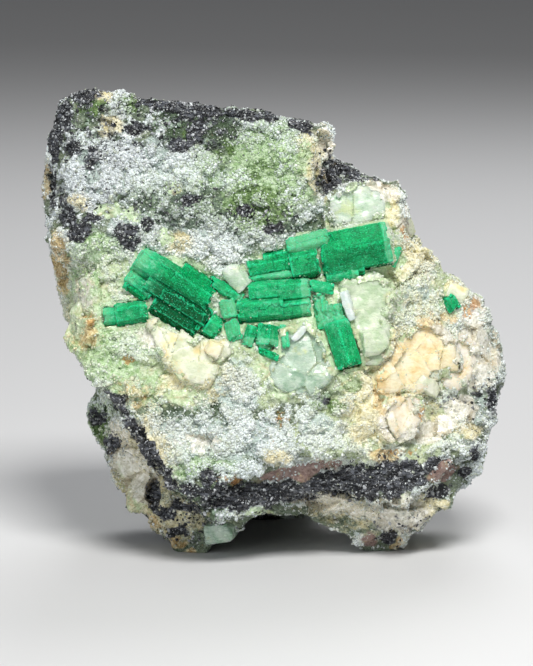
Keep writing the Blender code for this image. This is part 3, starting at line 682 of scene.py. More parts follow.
def new_group(name, inputs, outputs):
    """An empty node group. Inputs are (name, kind, value), outputs (name, kind)."""
    tree = bpy.data.node_groups.new(name, "ShaderNodeTree")
    for title, kind, value in inputs:
        made = tree.interface.new_socket(title, in_out="INPUT", socket_type="NodeSocket" + kind)
        if value is not None:
            made.default_value = value
    for title, kind in outputs:
        tree.interface.new_socket(title, in_out="OUTPUT", socket_type="NodeSocket" + kind)
    return tree, tree.nodes.new("NodeGroupInput").outputs, tree.nodes.new("NodeGroupOutput").inputs


def use(tree, group, **inputs):
    """Places a node group in a material and gives its outputs."""
    return put(tree, "Group", {"node_tree": group}, **inputs).outputs


def millimetres(tree):
    """Object coordinates in mm."""
    where = tree.nodes.new("ShaderNodeTexCoord").outputs["Object"]
    scaled = put(tree, "VectorMath", {"operation": "SCALE"}, Vector=where, Scale=1000.0)
    return scaled.outputs[0]


def stored(tree, name, output="Fac"):
    """What the mesh keeps under this name."""
    return put(tree, "Attribute", {"attribute_name": name}).outputs[output]


# %% Ragged patch
ragged_patch, given, gives = new_group(
    "Ragged patch",
    [("Place", "Vector", None), ("Patch", "Float", 0.0), ("Size", "Float", 1.0),
     ("Raggedness", "Float", 0.6)],
    [("Mask", "Float")],
)
per_mm = sums(ragged_patch, "DIVIDE", 1.0, given["Size"])
tear = put(ragged_patch, "TexNoise", Vector=given["Place"], Scale=per_mm, Detail=5.0, Roughness=0.65)
torn = sums(ragged_patch, "SUBTRACT", tear.outputs["Fac"], 0.5)
moved = times_plus(ragged_patch, torn, times(ragged_patch, given["Raggedness"], 2.4), given["Patch"])
plug(ragged_patch, gives["Mask"], span(ragged_patch, moved, 0.32, 0.68))

# %% Sugar grains
sugar_grain, given, gives = new_group(
    "Sugar grain",
    [("Place", "Vector", None), ("Grain", "Float", 0.45)],
    [("Light", "Float"), ("Glint", "Float"), ("Height", "Float")],
)
per_mm = sums(sugar_grain, "DIVIDE", 1.0, given["Grain"])
finer = times(sugar_grain, per_mm, 2.3)
coarse = put(sugar_grain, "TexVoronoi", Vector=given["Place"], Scale=per_mm, Randomness=1.0)
fine = put(sugar_grain, "TexVoronoi", Vector=given["Place"], Scale=finer)
shade = put(sugar_grain, "SeparateColor", Color=coarse.outputs["Color"]).outputs
fine_shade = put(sugar_grain, "SeparateColor", Color=fine.outputs["Color"]).outputs
core = span(sugar_grain, coarse.outputs["Distance"], 0.62, 0.12)
light = times_plus(sugar_grain, shade["Red"], 0.6, times(sugar_grain, fine_shade["Red"], 0.4))
bulge = times_plus(sugar_grain, fine.outputs["Distance"], -0.35, core)
# Each grain is darker towards its border, where the grains meet: painted shade between the grains.
plug(sugar_grain, gives["Light"], times(sugar_grain, light, times_plus(sugar_grain, core, 0.6, 0.4)))
plug(sugar_grain, gives["Glint"], shade["Green"])
plug(sugar_grain, gives["Height"], times_plus(sugar_grain, shade["Blue"], 0.5, bulge))

# %% Healed cracks
healed_cracks, given, gives = new_group(
    "Healed cracks",
    [("Place", "Vector", None), ("Size", "Float", 2.0), ("Width", "Float", 0.05),
     ("Waviness", "Float", 0.4)],
    [("Line", "Float"), ("Block", "Float")],
)
bend = put(healed_cracks, "TexNoise", Vector=given["Place"], Scale=0.8, Detail=3.0).outputs["Color"]
push = put(healed_cracks, "VectorMath", {"operation": "SCALE"}, Vector=bend, Scale=given["Waviness"])
bent = put(healed_cracks, "VectorMath", {"operation": "ADD"}, Vector=given["Place"])
plug(healed_cracks, bent.inputs[1], push.outputs[0])
bent = bent.outputs[0]
per_mm = sums(healed_cracks, "DIVIDE", 1.0, given["Size"])
edges = put(healed_cracks, "TexVoronoi", {"feature": "DISTANCE_TO_EDGE"}, Vector=bent, Scale=per_mm)
blocks = put(healed_cracks, "TexVoronoi", Vector=bent, Scale=per_mm)
line = put(healed_cracks, "MapRange", {"interpolation_type": "SMOOTHSTEP"},
           Value=edges.outputs["Distance"], From_Max=given["Width"], To_Min=1.0, To_Max=0.0)
shade = put(healed_cracks, "SeparateColor", Color=blocks.outputs["Color"])
plug(healed_cracks, gives["Line"], line.outputs["Result"])
plug(healed_cracks, gives["Block"], shade.outputs["Red"])

# %% Growth lines
growth_lines, given, gives = new_group(
    "Growth lines",
    [("Place", "Vector", None), ("Spacing", "Float", 0.3), ("Length", "Float", 6.0)],
    [("Tone", "Float"), ("Height", "Float")],
)
split = put(growth_lines, "SeparateXYZ", Vector=given["Place"]).outputs
drawn_out = put(
    growth_lines, "CombineXYZ",
    X=sums(growth_lines, "DIVIDE", split["X"], given["Length"]),
    Y=sums(growth_lines, "DIVIDE", split["Y"], given["Spacing"]),
    Z=sums(growth_lines, "DIVIDE", split["Z"], given["Spacing"]),
)
stripes = put(growth_lines, "TexNoise", Vector=drawn_out.outputs[0], Scale=1.0, Detail=4.0, Roughness=0.6)
plug(growth_lines, gives["Tone"], span(growth_lines, stripes.outputs["Fac"], 0.32, 0.68))
plug(growth_lines, gives["Height"], stripes.outputs["Fac"])

print("Groups:", [group.name for group in bpy.data.node_groups])

# %% [markdown]
# ## The stone's colours
# The stone's material is laid down like paint over an undercoat: first the grey-white sugar, then the
# green flush, the creams and rusts, the clean pale minerals, and last the dark schist with its flakes.
# Each layer reads its patch from the mesh and tears its edge with the ragged patch group. Light goes a
# little way into feldspar, so the shader has some subsurface scattering.

# %% Material of the stone
def new_material(name):
    made = bpy.data.materials.new(name)
    made.use_nodes = True
    return made, made.node_tree, made.node_tree.nodes["Principled BSDF"]


stone_finish, tree, shader = new_material("sugary schist")
place = millimetres(tree)
sugar = use(tree, sugar_grain, Place=place, Grain=0.42)
broad = put(tree, "TexNoise", Vector=place, Scale=0.45, Detail=4.0, Roughness=0.6).outputs["Fac"]
mottle = put(tree, "TexNoise", Vector=place, Scale=1.5, Detail=4.0, Roughness=0.65).outputs["Fac"]


def patch_mask(name, size, raggedness):
    """Where a patch of the mesh shows, with its edge torn."""
    patch = stored(tree, name)
    return use(tree, ragged_patch, Place=place, Patch=patch, Size=size, Raggedness=raggedness)["Mask"]


gaps = patch_mask("clump", 0.9, 0.5)
sparkle = span(tree, times_plus(tree, gaps, 0.40, times(tree, sugar["Light"], 0.75)), 0.16, 0.66)
under = tint(tree, span(tree, mottle, 0.38, 0.62), srgb(96, 110, 88), srgb(176, 190, 168))
fair = patch_mask("fair", 3.0, 0.5)
fair_under = tint(tree, span(tree, mottle, 0.36, 0.64), srgb(168, 184, 138), srgb(212, 224, 190))
under = tint(tree, fair, under, fair_under)
white_share = times(tree, sparkle, times_plus(tree, fair, -0.35, 1.0))
colour = tint(tree, white_share, under, srgb(236, 246, 244))
colour = tint(tree, span(tree, broad, 0.45, 0.72, 0.0, 0.5), colour, srgb(214, 218, 172))
# Between the clumps of sugar the crust is darkened: partly the greyer rock there and partly painted shade in
# the recessed gaps.
shaded = times(tree, sums(tree, "SUBTRACT", 1.0, gaps), times_plus(tree, fair, -0.45, 0.62))
colour = tint(tree, shaded, colour, srgb(92, 108, 84))

tone = span(tree, mottle, 0.36, 0.66)
LAYERS = {  # size and raggedness, dark and pale shade, how strongly it covers, and what picks the shade
    "sugar": (1.2, 0.80, (190, 206, 200), (248, 254, 255), 0.85, sparkle),
    # Murk and shade: dark rock, with painted shade on the feet and at the right-hand end.
    "murk_and_shade": (1.6, 0.80, (58, 80, 52), (150, 176, 148), 0.85, gaps),
    "cream": (1.6, 0.60, (226, 214, 164), (250, 245, 218), 0.85, tone),
    "green": (1.8, 0.55, (148, 182, 124), (210, 230, 196), 0.85, tone),
    "olive": (1.0, 0.75, (58, 88, 36), (120, 152, 80), 0.85, tone),
    "amber": (1.2, 0.60, (188, 154, 98), (242, 222, 174), 0.80, tone),
    "glass": (1.4, 0.50, (170, 194, 148), (218, 232, 200), 0.85, tone),
    "milk": (1.2, 0.50, (206, 202, 184), (246, 244, 236), 0.90, tone),
    "rust": (0.5, 1.00, (178, 112, 44), (224, 176, 96), 0.70, tone),
    "brown": (1.0, 0.35, (120, 92, 84), (160, 134, 126), 0.95, tone),
}
masks = {}
for name, (size, raggedness, dark, pale, share, pick) in LAYERS.items():
    masks[name] = patch_mask(name, size, raggedness)
    colour = tint(tree, times(tree, masks[name], share), colour, tint(tree, pick, srgb(*dark), srgb(*pale)))

folded = put(tree, "Mapping", Vector=place, Scale=(0.7, 0.7, 2.2), Rotation=(0.0, 0.25, 0.0))
mica_cells = put(tree, "TexVoronoi", Vector=folded.outputs[0], Scale=1.5)
mica = put(tree, "SeparateColor", Color=mica_cells.outputs["Color"]).outputs
dark_shade = tint(tree, span(tree, mica["Red"], 0.3, 1.0), srgb(24, 26, 31), srgb(94, 98, 106))
# Painted glints: pale specks in the dark schist stand in for the flashes of mica.
painted_flashes = span(tree, sugar["Light"], 0.5, 0.72, 0.0, 0.8)
dark_shade = tint(tree, painted_flashes, dark_shade, srgb(206, 208, 206))
schist = patch_mask("schist", 1.5, 0.8)
colour = tint(tree, schist, colour, dark_shade)
colour = tint(tree, stored(tree, "bed"), colour, srgb(168, 206, 160))

# Clean minerals are glossier than the crust, their seams are darkened, partly by stain and partly by painted
# shade in the creases, and single grains catch the light.
clean = sums(tree, "MAXIMUM", sums(tree, "MAXIMUM", masks["glass"], masks["milk"]), masks["brown"])
stain_and_seam_shade = times(tree, stored(tree, "seam"), span(tree, mottle, 0.35, 0.6, 0.15, 0.75))
colour = tint(tree, times(tree, stain_and_seam_shade, clean), colour, srgb(176, 158, 118))
glints = span(tree, sugar["Glint"], 0.55, 0.9)
rough = times_plus(tree, glints, -0.28, times_plus(tree, clean, -0.26, 0.58))
even = sums(tree, "MAXIMUM", clean, times(tree, fair, 0.6))
grain_height = times(tree, sugar["Height"], times_plus(tree, even, -0.85, 1.0))
mica_height = times(tree, mica["Green"], times(tree, schist, 0.8))
relief = sums(tree, "ADD", grain_height, mica_height)
bump = put(tree, "Bump", Strength=0.85, Distance=0.0003, Height=relief).outputs[0]
fill(tree, shader, Base_Color=colour, Roughness=rough, Normal=bump, IOR=1.53, Subsurface_Weight=0.25,
     Subsurface_Radius=(1.0, 1.0, 0.8), Subsurface_Scale=0.0012)

rock.data.materials.append(stone_finish)
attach(rock, "root")
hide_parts("matrix_rock")
print("Stone finish:", len(tree.nodes), "nodes")

# %% [markdown]
# ## Emerald crystals
# Beryl grows as six-sided columns. Along each column run fine growth lines, the faces step up and down
# in long narrow treads, and old cracks cross it at right angles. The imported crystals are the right
# columns with plain faces. Each gets a fine grid, and then heights measured along its own axis, so
# that the lines follow the crystal whichever way it lies. Those same axis places are stored on the
# mesh for the material.

# %% The axis and the tones of each emerald
EMERALDS = {
    # The tail and the tip of its main column in the face frame. Then its tones: how pale it is overall,
    # over how many mm its tail and its tip are paler still, and how strongly painted shade darkens its lower
    # side.
    "emerald_left_prism": ((-21.6, -7.4, 47.7), (-10.3, -7.7, 40.6), (0.0, 4.0, 0.0, 1.0)),
    "emerald_left_end": ((-11.2, -7.5, 37.6), (-8.6, -7.8, 36.1), (0.25, 0.0, 0.0, 0.2)),
    "emerald_link": ((-10.6, -7.2, 44.3), (-5.2, -7.5, 41.2), (0.2, 0.0, 1.0, 0.2)),
    "emerald_far_left": ((-27.0, -7.4, 38.4), (-20.1, -7.7, 39.4), (0.25, 2.4, 0.0, 0.3)),
    "emerald_right_prism": ((7.3, -5.9, 48.0), (18.1, -5.7, 50.1), (0.08, 0.0, 1.0, 0.45)),
    "emerald_upper_bar": ((-4.1, -7.3, 45.8), (6.8, -6.8, 47.3), (0.12, 0.0, 0.0, 0.3)),
    "emerald_centre": ((-5.0, -7.3, 42.2), (5.5, -7.2, 43.0), (0.28, 0.0, 1.5, 0.1)),
    "emerald_lower_prism": ((9.4, -7.9, 38.4), (11.8, -8.8, 30.5), (0.15, 2.0, 0.0, 0.3)),
    "emerald_stub": ((-1.0, -7.9, 37.0), (-1.4, -8.4, 33.8), (0.3, 0.0, 1.0, 0.2)),
    "emerald_chip": ((27.6, -1.8, 41.6), (28.8, -1.4, 39.6), (0.3, 0.0, 0.0, 0.0)),
}


def axis_places(obj, tail, tip):
    """Each point's place along the crystal, across it and outwards, in mm."""
    start = world_place(*tail)
    along = (world_place(*tip) - start).normalized()
    across = OUTWARD.cross(along).normalized()
    up = along.cross(across)
    turn = np.array([along, across, up]).T
    return (points_of(obj) - np.array(start)) @ turn / MM, (world_place(*tip) - start).length / MM


# %% Shaping an emerald
EMERALD_GRID = 0.13  # mm
EMERALD_GROW = 0.14  # mm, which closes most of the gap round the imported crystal
RIDGE, LEDGE, CHIP, CHIPPED_END = 0.03, 0.11, 0.05, 0.30  # mm of relief
CRACK_EVERY, CRACK_WIDE = 3.5, 0.07  # mm
PALE_END = 0.85  # how pale a pale tail or tip is
rng = np.random.default_rng(71)


def edges_of(obj):
    """How far each point stands out from a smoothed copy: near 1 on edges and near -1 in grooves."""
    smoothed = obj.copy()
    smoothed.data = obj.data.copy()
    scene.collection.objects.link(smoothed)
    apply_modifier(smoothed, "SMOOTH", "blur", factor=0.5, iterations=12)
    out = np.einsum("ij,ij->i", points_of(obj) - points_of(smoothed), normals_of(obj)) / MM
    bpy.data.objects.remove(smoothed)
    return np.clip(out / 0.05, -1, 1)


def beryl_relief(spots, wavy, length, shift):
    """Heights in mm: growth ridges, long ledges, chips, cracks across the column and chipped ends."""
    ridges = noise_at(spots, 0.45, 2, shift, (0.03, 1.0, 1.0))
    bent = spots + 0.5 * noise_at(spots, 1.6, 3, shift + 5)[:, None]
    ledges = np.array([noise.cell(Vector(p)) for p in bent / (8.0, 1.5, 1.5) + shift])
    heights = RIDGE * ridges + LEDGE * (ledges - 0.5) + CHIP * noise_at(spots, 0.8, 2, shift)
    reach = fade(noise_at(spots, 2.2, 1, shift + 30), -0.15, 0.15)
    for where in rng.uniform(0.1, 0.9, max(1, int(length / CRACK_EVERY))) * length:
        heights -= rng.uniform(0.03, 0.09) * np.exp(-(((wavy - where) / CRACK_WIDE) ** 2)) * reach
    ends = fade(np.minimum(spots[:, 0], length - spots[:, 0]), 0.9, 0.0)
    return heights - ends * CHIPPED_END * fade(noise_at(spots, 1.3, 2, shift + 50), -0.1, 0.25)


def grown_beryl(crystal, tail, tip, tones):
    """Gives a plain crystal its relief, and stores on it what the material reads."""
    overall, pale_tail, pale_tip, underside_shade = tones
    apply_modifier(crystal, "REMESH", "fine grid", mode="VOXEL", voxel_size=EMERALD_GRID * MM)
    apply_modifier(crystal, "SMOOTH", "worn edges", factor=0.5, iterations=1)
    spots, length = axis_places(crystal, tail, tip)
    shift = float(rng.uniform(0, 60))
    wavy = spots[:, 0] + 0.3 * noise_at(spots, 1.5, 2, shift + 9)
    lift(crystal, beryl_relief(spots, wavy, length, shift) + EMERALD_GROW)
    pale = np.full(len(spots), overall)
    if pale_tail:
        pale = np.maximum(pale, PALE_END * fade(wavy, pale_tail * 1.6, pale_tail * 0.2))
    if pale_tip:
        pale = np.maximum(pale, PALE_END * fade(wavy, length - pale_tip - 0.15, length - pale_tip + 0.15))
    keep_on_points(crystal, "pale", pale)
    keep_on_points(crystal, "edge", edges_of(crystal))
    # Painted shade on the side below the axis.
    keep_on_points(crystal, "painted_underside_shade", underside_shade * fade(spots[:, 1], 0.4, -1.4))
    held = crystal.data.attributes.new("axis_place", "FLOAT_VECTOR", "POINT")
    held.data.foreach_set("vector", (spots + shift).astype(np.float32).ravel())
    alone(crystal)
    bpy.ops.object.shade_smooth_by_angle(angle=math.radians(28))
    return crystal


def shape_emerald(node, tail, tip, tones):
    return grown_beryl(working_copy(node, node.replace("emerald", "beryl")), tail, tip, tones)


emeralds = {node: shape_emerald(node, *what) for node, what in EMERALDS.items()}
print("Emeralds:", {name: triangles(obj) for name, obj in emeralds.items()})

# %% [markdown]
# Emerald is clear green beryl clouded by healed cracks, so some light passes and the rest is scattered
# inside. The material starts with a mosaic of two greens, the blocks between the cracks. Thin washes
# lie over it one by one: clouds, growth lines, a fine mottle, painted shade on the lower side, the pale
# ends, veils, painted highlights on the edges with painted shade in the grooves, cracks and small
# painted glints. The gloss is kept low, because so near to white panels a strong reflection would hide
# the green.

# %% Material of the emeralds
emerald_finish, tree, shader = new_material("emerald")
inside = stored(tree, "axis_place", "Vector")
pale, painted_underside_shade, edge = (stored(tree, name) for name in ("pale", "painted_underside_shade", "edge"))
lines = use(tree, growth_lines, Place=inside, Spacing=0.16, Length=6.0)
cloud = put(tree, "TexNoise", Vector=inside, Scale=0.45, Detail=3.0, Roughness=0.55).outputs["Fac"]


def squeezed(scales):
    """The places along the crystal, scaled along, across and outwards."""
    return put(tree, "Mapping", Vector=inside, Scale=scales).outputs[0]


def stretched_noise(scales, detail, roughness):
    where = squeezed(scales)
    return put(tree, "TexNoise", Vector=where, Scale=1.0, Detail=detail, Roughness=roughness).outputs["Fac"]


def cracks_along(scales, width):
    """Thin lines where a stretched noise crosses its middle: a crack that runs across its short side."""
    waves = stretched_noise(scales, 2.0, 0.45)
    return span(tree, sums(tree, "ABSOLUTE", sums(tree, "SUBTRACT", waves, 0.5)), width, 0.0)


def painted_glint_mask(per_mm, size, share):
    """Painted glints: a share of the cells of a fine pattern, each a small bright dot."""
    cell = put(tree, "TexVoronoi", Vector=inside, Scale=per_mm)
    picked = put(tree, "SeparateColor", Color=cell.outputs["Color"]).outputs["Red"]
    dots = span(tree, cell.outputs["Distance"], size, size * 0.4)
    return times(tree, dots, span(tree, picked, 1.0 - share, 1.1 - share))


cross_cracks = cracks_along((0.7, 0.2, 0.2), 0.012)
long_cracks = cracks_along((0.06, 0.8, 0.8), 0.012)
jitter = put(tree, "TexNoise", Vector=inside, Scale=1.6, Detail=3.0, Roughness=0.6).outputs["Color"]
jitter = put(tree, "VectorMath", {"operation": "SCALE"}, Vector=jitter, Scale=0.7).outputs[0]
broken_up = put(tree, "VectorMath", {"operation": "ADD"}, Vector=squeezed((1.0, 1.7, 1.7)))
plug(tree, broken_up.inputs[1], jitter)
blocks = put(tree, "TexVoronoi", {"distance": "CHEBYCHEV"}, Vector=broken_up.outputs[0], Scale=1.0)
mosaic = put(tree, "SeparateColor", Color=blocks.outputs["Color"]).outputs["Red"]
painted_glints = sums(tree, "MAXIMUM", painted_glint_mask(4.4, 0.42, 0.35), painted_glint_mask(2.1, 0.28, 0.16))
fine = stretched_noise((3.4, 5.5, 5.5), 3.0, 0.7)
veils = stretched_noise((0.8, 1.3, 1.3), 6.0, 0.75)
paleness = times_plus(tree, span(tree, cloud, 0.35, 0.6), 0.5, 0.7)

colour = tint(tree, mosaic, srgb(0, 112, 54), srgb(0, 170, 92))
WASHES = (  # laid one over another: how much of each, and its green
    (span(tree, cloud, 0.42, 0.68, 0.0, 0.6), (0, 208, 122)),
    (span(tree, lines["Tone"], 0.4, 1.0, 0.0, 0.18), (0, 220, 134)),
    (span(tree, fine, 0.49, 0.41, 0.0, 0.55), (0, 76, 36)),
    (span(tree, fine, 0.53, 0.6, 0.0, 0.55), (8, 234, 150)),
    # Painted shade on the lower side.
    (times(tree, painted_underside_shade, 0.9), (0, 74, 34)),
    (times(tree, paleness, pale), (60, 214, 148)),
    (span(tree, pale, 0.7, 1.0, 0.0, 0.8), (160, 214, 168)),
    (span(tree, veils, 0.54, 0.72, 0.0, 0.55), (8, 214, 142)),
    (times(tree, span(tree, veils, 0.5, 0.62, 0.0, 1.5), pale), (132, 222, 178)),
    # Painted shade in the grooves, then painted highlights along the edges.
    (span(tree, edge, -0.1, -0.9, 0.0, 0.4), (0, 88, 42)),
    (span(tree, edge, 0.3, 1.0, 0.0, 0.65), (48, 236, 168)),
    (times(tree, cross_cracks, 0.35), (36, 220, 150)),
    (times(tree, long_cracks, 0.15), (36, 220, 150)),
    # Painted glints.
    (times(tree, painted_glints, 0.75), (60, 248, 186)),
)
for amount, green in WASHES:
    colour = tint(tree, amount, colour, srgb(*green))
dull = span(tree, cloud, 0.35, 0.65, 0.04, 0.12)
ridges = times_plus(tree, cross_cracks, -0.5, lines["Height"])
for pattern, height in ((mosaic, 0.3), (painted_glints, 0.6), (veils, 0.8), (fine, 1.4)):
    ridges = times_plus(tree, pattern, height, ridges)
bump = put(tree, "Bump", Strength=0.9, Distance=0.00014, Height=ridges).outputs[0]
fill(tree, shader, Base_Color=colour, Roughness=times_plus(tree, painted_glints, 0.3, dull), Normal=bump, IOR=1.58,
     Transmission_Weight=0.2, Specular_IOR_Level=0.05, Subsurface_Weight=0.25,
     Subsurface_Radius=(0.15, 1.2, 0.5), Subsurface_Scale=0.001)

for node, crystal in emeralds.items():
    crystal.data.materials.append(emerald_finish)
    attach(crystal, "root")
    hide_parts(node)
print("Emerald finish:", len(tree.nodes), "nodes")

# %% [markdown]
# ## Quartz and feldspar
# The pale minerals fill the space round the emeralds. Quartz is a cloudy glass with curved breaks.
# Feldspar breaks along flat cleavage planes, so it shows blocks with straight steps, and iron has
# stained its cracks amber. On both minerals the seams between facets are darkened, partly by stain
# and partly by painted shade. Each packed block gets a fine grid, relief of its own kind and a milky
# material that lets light in under the surface.

# %% Shaping a pale crystal
PALE_GRID = 0.22  # mm
PALE_GROW = 0.30  # mm
FIRST_STEP, SECOND_STEP = 5.4, 7.0  # mm between the steps of feldspar's two cleavages
DEEPEST = -0.35  # mm, so that the stone behind never shows through


def shape_pale(node):
    crystal = working_copy(node, node + "_grown")
    apply_modifier(crystal, "REMESH", "fine grid", mode="VOXEL", voxel_size=PALE_GRID * MM)
    apply_modifier(crystal, "SMOOTH", "worn edges", factor=0.5, iterations=3)
    spots = face_places(points_of(crystal))
    shift = float(rng.uniform(0, 60))
    if node.startswith("feldspar"):
        waver = 0.15 * noise_at(spots, 3.0, 2, shift)
        first = (spots[:, 0] * 0.9 + spots[:, 2] * 0.45) / FIRST_STEP + waver
        second = (spots[:, 2] * 0.9 - spots[:, 0] * 0.35) / SECOND_STEP - waver
        facets, seams = tilted_facets(spots, 4.6, shift)
        heights = 0.4 * (first % 1.0) + 0.3 * (second % 1.0) - 0.3 + 0.6 * facets
    else:
        facets, seams = tilted_facets(spots, 5.6, shift)
        heights = 0.4 * noise_at(spots, 3.2, 2, shift) + 0.35 * facets
    heights = np.maximum(heights, DEEPEST)
    heights *= 0.2 + 0.8 * fade(away_from(emerald_tree, points_of(crystal)), 0.3, 1.5)
    lift(crystal, heights + PALE_GROW)
    keep_on_points(crystal, "seam", seams)
    alone(crystal)
    bpy.ops.object.shade_smooth_by_angle(angle=math.radians(30))
    return crystal


pale_crystals = {node: shape_pale(node) for node in pale_nodes}
print("Pale crystals:", {name: triangles(obj) for name, obj in pale_crystals.items()})

# %% Materials of quartz and feldspar
def pale_finish(name, dark, light, stain_and_seam_shade, stained, clearness, rough):
    """A milky mineral: cloudy body, healed cracks as bright veils, iron stain along some of them, and seams
    darkened by stain and by painted shade.
    """
    made, tree, shader = new_material(name)
    dark, light, stain_and_seam_shade = srgb(*dark), srgb(*light), srgb(*stain_and_seam_shade)
    place = millimetres(tree)
    cloud = put(tree, "TexNoise", Vector=place, Scale=0.55, Detail=5.0, Roughness=0.6).outputs["Fac"]
    streaks = put(tree, "Mapping", Vector=place, Rotation=(0.0, 0.5, 0.2), Scale=(0.5, 1.2, 1.6)).outputs[0]
    veil = put(tree, "TexNoise", Vector=streaks, Scale=1.1, Detail=4.0, Roughness=0.7).outputs["Fac"]
    small = use(tree, healed_cracks, Place=place, Size=1.7, Width=0.03, Waviness=0.9)
    iron = use(tree, ragged_patch, Place=place, Patch=stained, Size=3.0, Raggedness=0.9)["Mask"]
    # Seams between facets take the stain colour: partly stain and partly painted shade in the creases.
    seam_line = times(tree, stored(tree, "seam"), span(tree, veil, 0.45, 0.62, 0.0, 0.45))
    colour = tint(tree, span(tree, cloud, 0.34, 0.66), dark, light)
    for amount, shade in (
        (span(tree, veil, 0.5, 0.75, 0.0, 0.5), srgb(246, 248, 240)),
        (times(tree, small["Line"], 0.16), srgb(250, 250, 244)),
        (times(tree, small["Block"], 0.3), dark),
        (times(tree, iron, 0.75), stain_and_seam_shade),
        (seam_line, stain_and_seam_shade),
    ):
        colour = tint(tree, amount, colour, shade)
    edge = times_plus(tree, small["Block"], 0.25, times_plus(tree, small["Line"], -0.3, veil))
    bump = put(tree, "Bump", Strength=0.4, Distance=0.0002, Height=edge).outputs[0]
    fill(tree, shader, Base_Color=colour, Roughness=span(tree, veil, 0.35, 0.7, rough, rough + 0.25),
         Normal=bump, Transmission_Weight=clearness, IOR=1.54, Subsurface_Weight=0.5,
         Subsurface_Radius=(1.0, 1.1, 0.8), Subsurface_Scale=0.002)
    return made


# The stain colour also darkens the seams, partly as stain and partly as painted shade.
PALE_FINISHES = {  # name, dark, light and stain colours, then how stained, how clear and how rough it is
    "quartz_lower": ("cloudy quartz", (150, 184, 158), (214, 230, 212), (206, 212, 140), 0.12, 0.2, 0.16),
    "quartz_right": ("milk quartz", (184, 208, 170), (230, 240, 216), (222, 226, 170), 0.2, 0.15, 0.2),
    "quartz_upper": ("blue white quartz", (180, 208, 180), (226, 238, 224), (214, 226, 170), 0.3, 0.15, 0.2),
    "feldspar_cream": ("cream feldspar", (206, 214, 182), (242, 243, 222), (230, 208, 142), 0.32, 0.0, 0.25),
    "feldspar_amber": ("amber feldspar", (240, 224, 176), (252, 244, 216), (228, 194, 132), 0.34, 0.05, 0.2),
    "feldspar_white": ("white feldspar", (228, 218, 192), (248, 245, 230), (230, 204, 152), 0.34, 0.0, 0.24),
    "bright": ("bright quartz", (212, 232, 226), (246, 252, 248), (226, 234, 210), 0.2, 0.1, 0.14),
}
finishes = {name: pale_finish(*recipe) for name, recipe in PALE_FINISHES.items()}
finishes["quartz_far_right"] = finishes["feldspar_white"]
for node, crystal in pale_crystals.items():
    crystal.data.materials.append(finishes[node])
    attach(crystal, "root")
    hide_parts(node)
print("Pale finishes:", sorted({finish.name for finish in finishes.values()}))

# %% [markdown]
# ## Small crystals between the large ones
# The room between the big crystals is filled with smaller ones: pale green beryl, broken laths of
# quartz, and knobs of feldspar. A small beryl starts as a six-sided column laid along its axis. A
# broken block starts as a cube that a few planes cut across, as a hammer would. Both are placed by
# casting a ray onto the stone, so that each is half sunk in what carries it.

# %% Where a small crystal rests
shown = [rock, *pale_crystals.values()]
bpy.context.view_layer.update()


def resting(x, z, proud):
    """The place on the stone's face at x, z, lifted by proud mm."""
    start = world_place(x, -40, z)
    hits = [obj.ray_cast(start, -OUTWARD) for obj in shown]
    nearest = min((spot - start).length for struck, spot, _, _ in hits if struck)
    return start - OUTWARD * (nearest - proud * MM)


def along_face(tail, tip, proud):
    """The middle, the turn and the length in mm of a crystal that lies from tail to tip."""
    start, end = resting(*tail, proud), resting(*tip, proud)
    axis = end - start
    return (start + end) / 2, axis.to_track_quat("X", "Z"), axis.length / MM


print("The stone's face at the belt:", resting(0.0, 40.0, 0.0))

# %% Small beryls
SMALL_BERYLS = {  # tail, tip, radius and how far the middle stands out in mm, then the tones
    "beryl_wedge": ((2.0, 49.4), (8.6, 50.9), 1.7, 0.1, (0.85, 0.0, 0.0, 0.0)),
    "beryl_under_right": ((8.2, 44.7), (13.2, 45.5), 1.0, 0.3, (0.4, 0.0, 1.2, 0.0)),
    "beryl_pale_upper": ((-7.7, 41.0), (-7.0, 38.2), 1.4, 0.2, (0.85, 0.0, 0.0, 0.0)),
    "beryl_pale_lower": ((-6.9, 37.8), (-6.1, 34.8), 1.2, 0.1, (0.8, 0.0, 0.0, 0.0)),
    "beryl_rod": ((-4.4, 44.5), (3.4, 45.3), 0.6, 0.2, (0.8, 0.0, 0.0, 0.0)),
    "beryl_sliver": ((1.4, 37.0), (1.8, 33.6), 0.6, 0.5, (0.8, 0.0, 0.0, 0.0)),
    "beryl_shard": ((-2.4, 33.1), (0.7, 31.9), 0.6, 0.3, (0.0, 0.0, 0.0, 0.6)),
    "beryl_bridge": ((5.6, 43.4), (9.2, 42.8), 0.9, 0.2, (0.7, 0.0, 0.0, 0.0)),
    "beryl_left_splinter": ((-23.6, 43.6), (-20.2, 41.2), 0.8, 0.5, (0.0, 0.0, 0.0, 0.9)),
    "beryl_tip_splinter": ((18.4, 46.4), (19.6, 49.4), 0.7, 0.1, (0.8, 0.0, 0.0, 0.0)),
}


def small_beryl(name, tail, tip, radius, proud, tones):
    middle, turn, length = along_face(tail, tip, proud)
    bpy.ops.mesh.primitive_cylinder_add(vertices=6, radius=radius * MM, depth=length * MM)
    crystal = bpy.context.object
    crystal.name = name
    bpy.ops.object.mode_set(mode="EDIT")
    bpy.ops.mesh.select_all(action="SELECT")
    bpy.ops.mesh.bevel(offset=0.12 * MM, segments=1)
    bpy.ops.object.mode_set(mode="OBJECT")
    lying = turn.to_matrix() @ Matrix.Rotation(math.radians(90), 3, "Y")
    crystal.matrix_world = Matrix.Translation(middle) @ lying.to_4x4()
    bpy.ops.object.transform_apply(location=True, rotation=True, scale=True)
    start, end = (face_places(np.array([middle + turn @ Vector((sign * length * MM / 2, 0, 0))]))[0]
                  for sign in (-1, 1))
    grown_beryl(crystal, tuple(start), tuple(end), tones)
    crystal.data.materials.append(emerald_finish)
    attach(crystal, "root")
    return crystal


small_beryls = [small_beryl(name, *what) for name, what in SMALL_BERYLS.items()]
print("Small beryls:", {obj.name: triangles(obj) for obj in small_beryls})

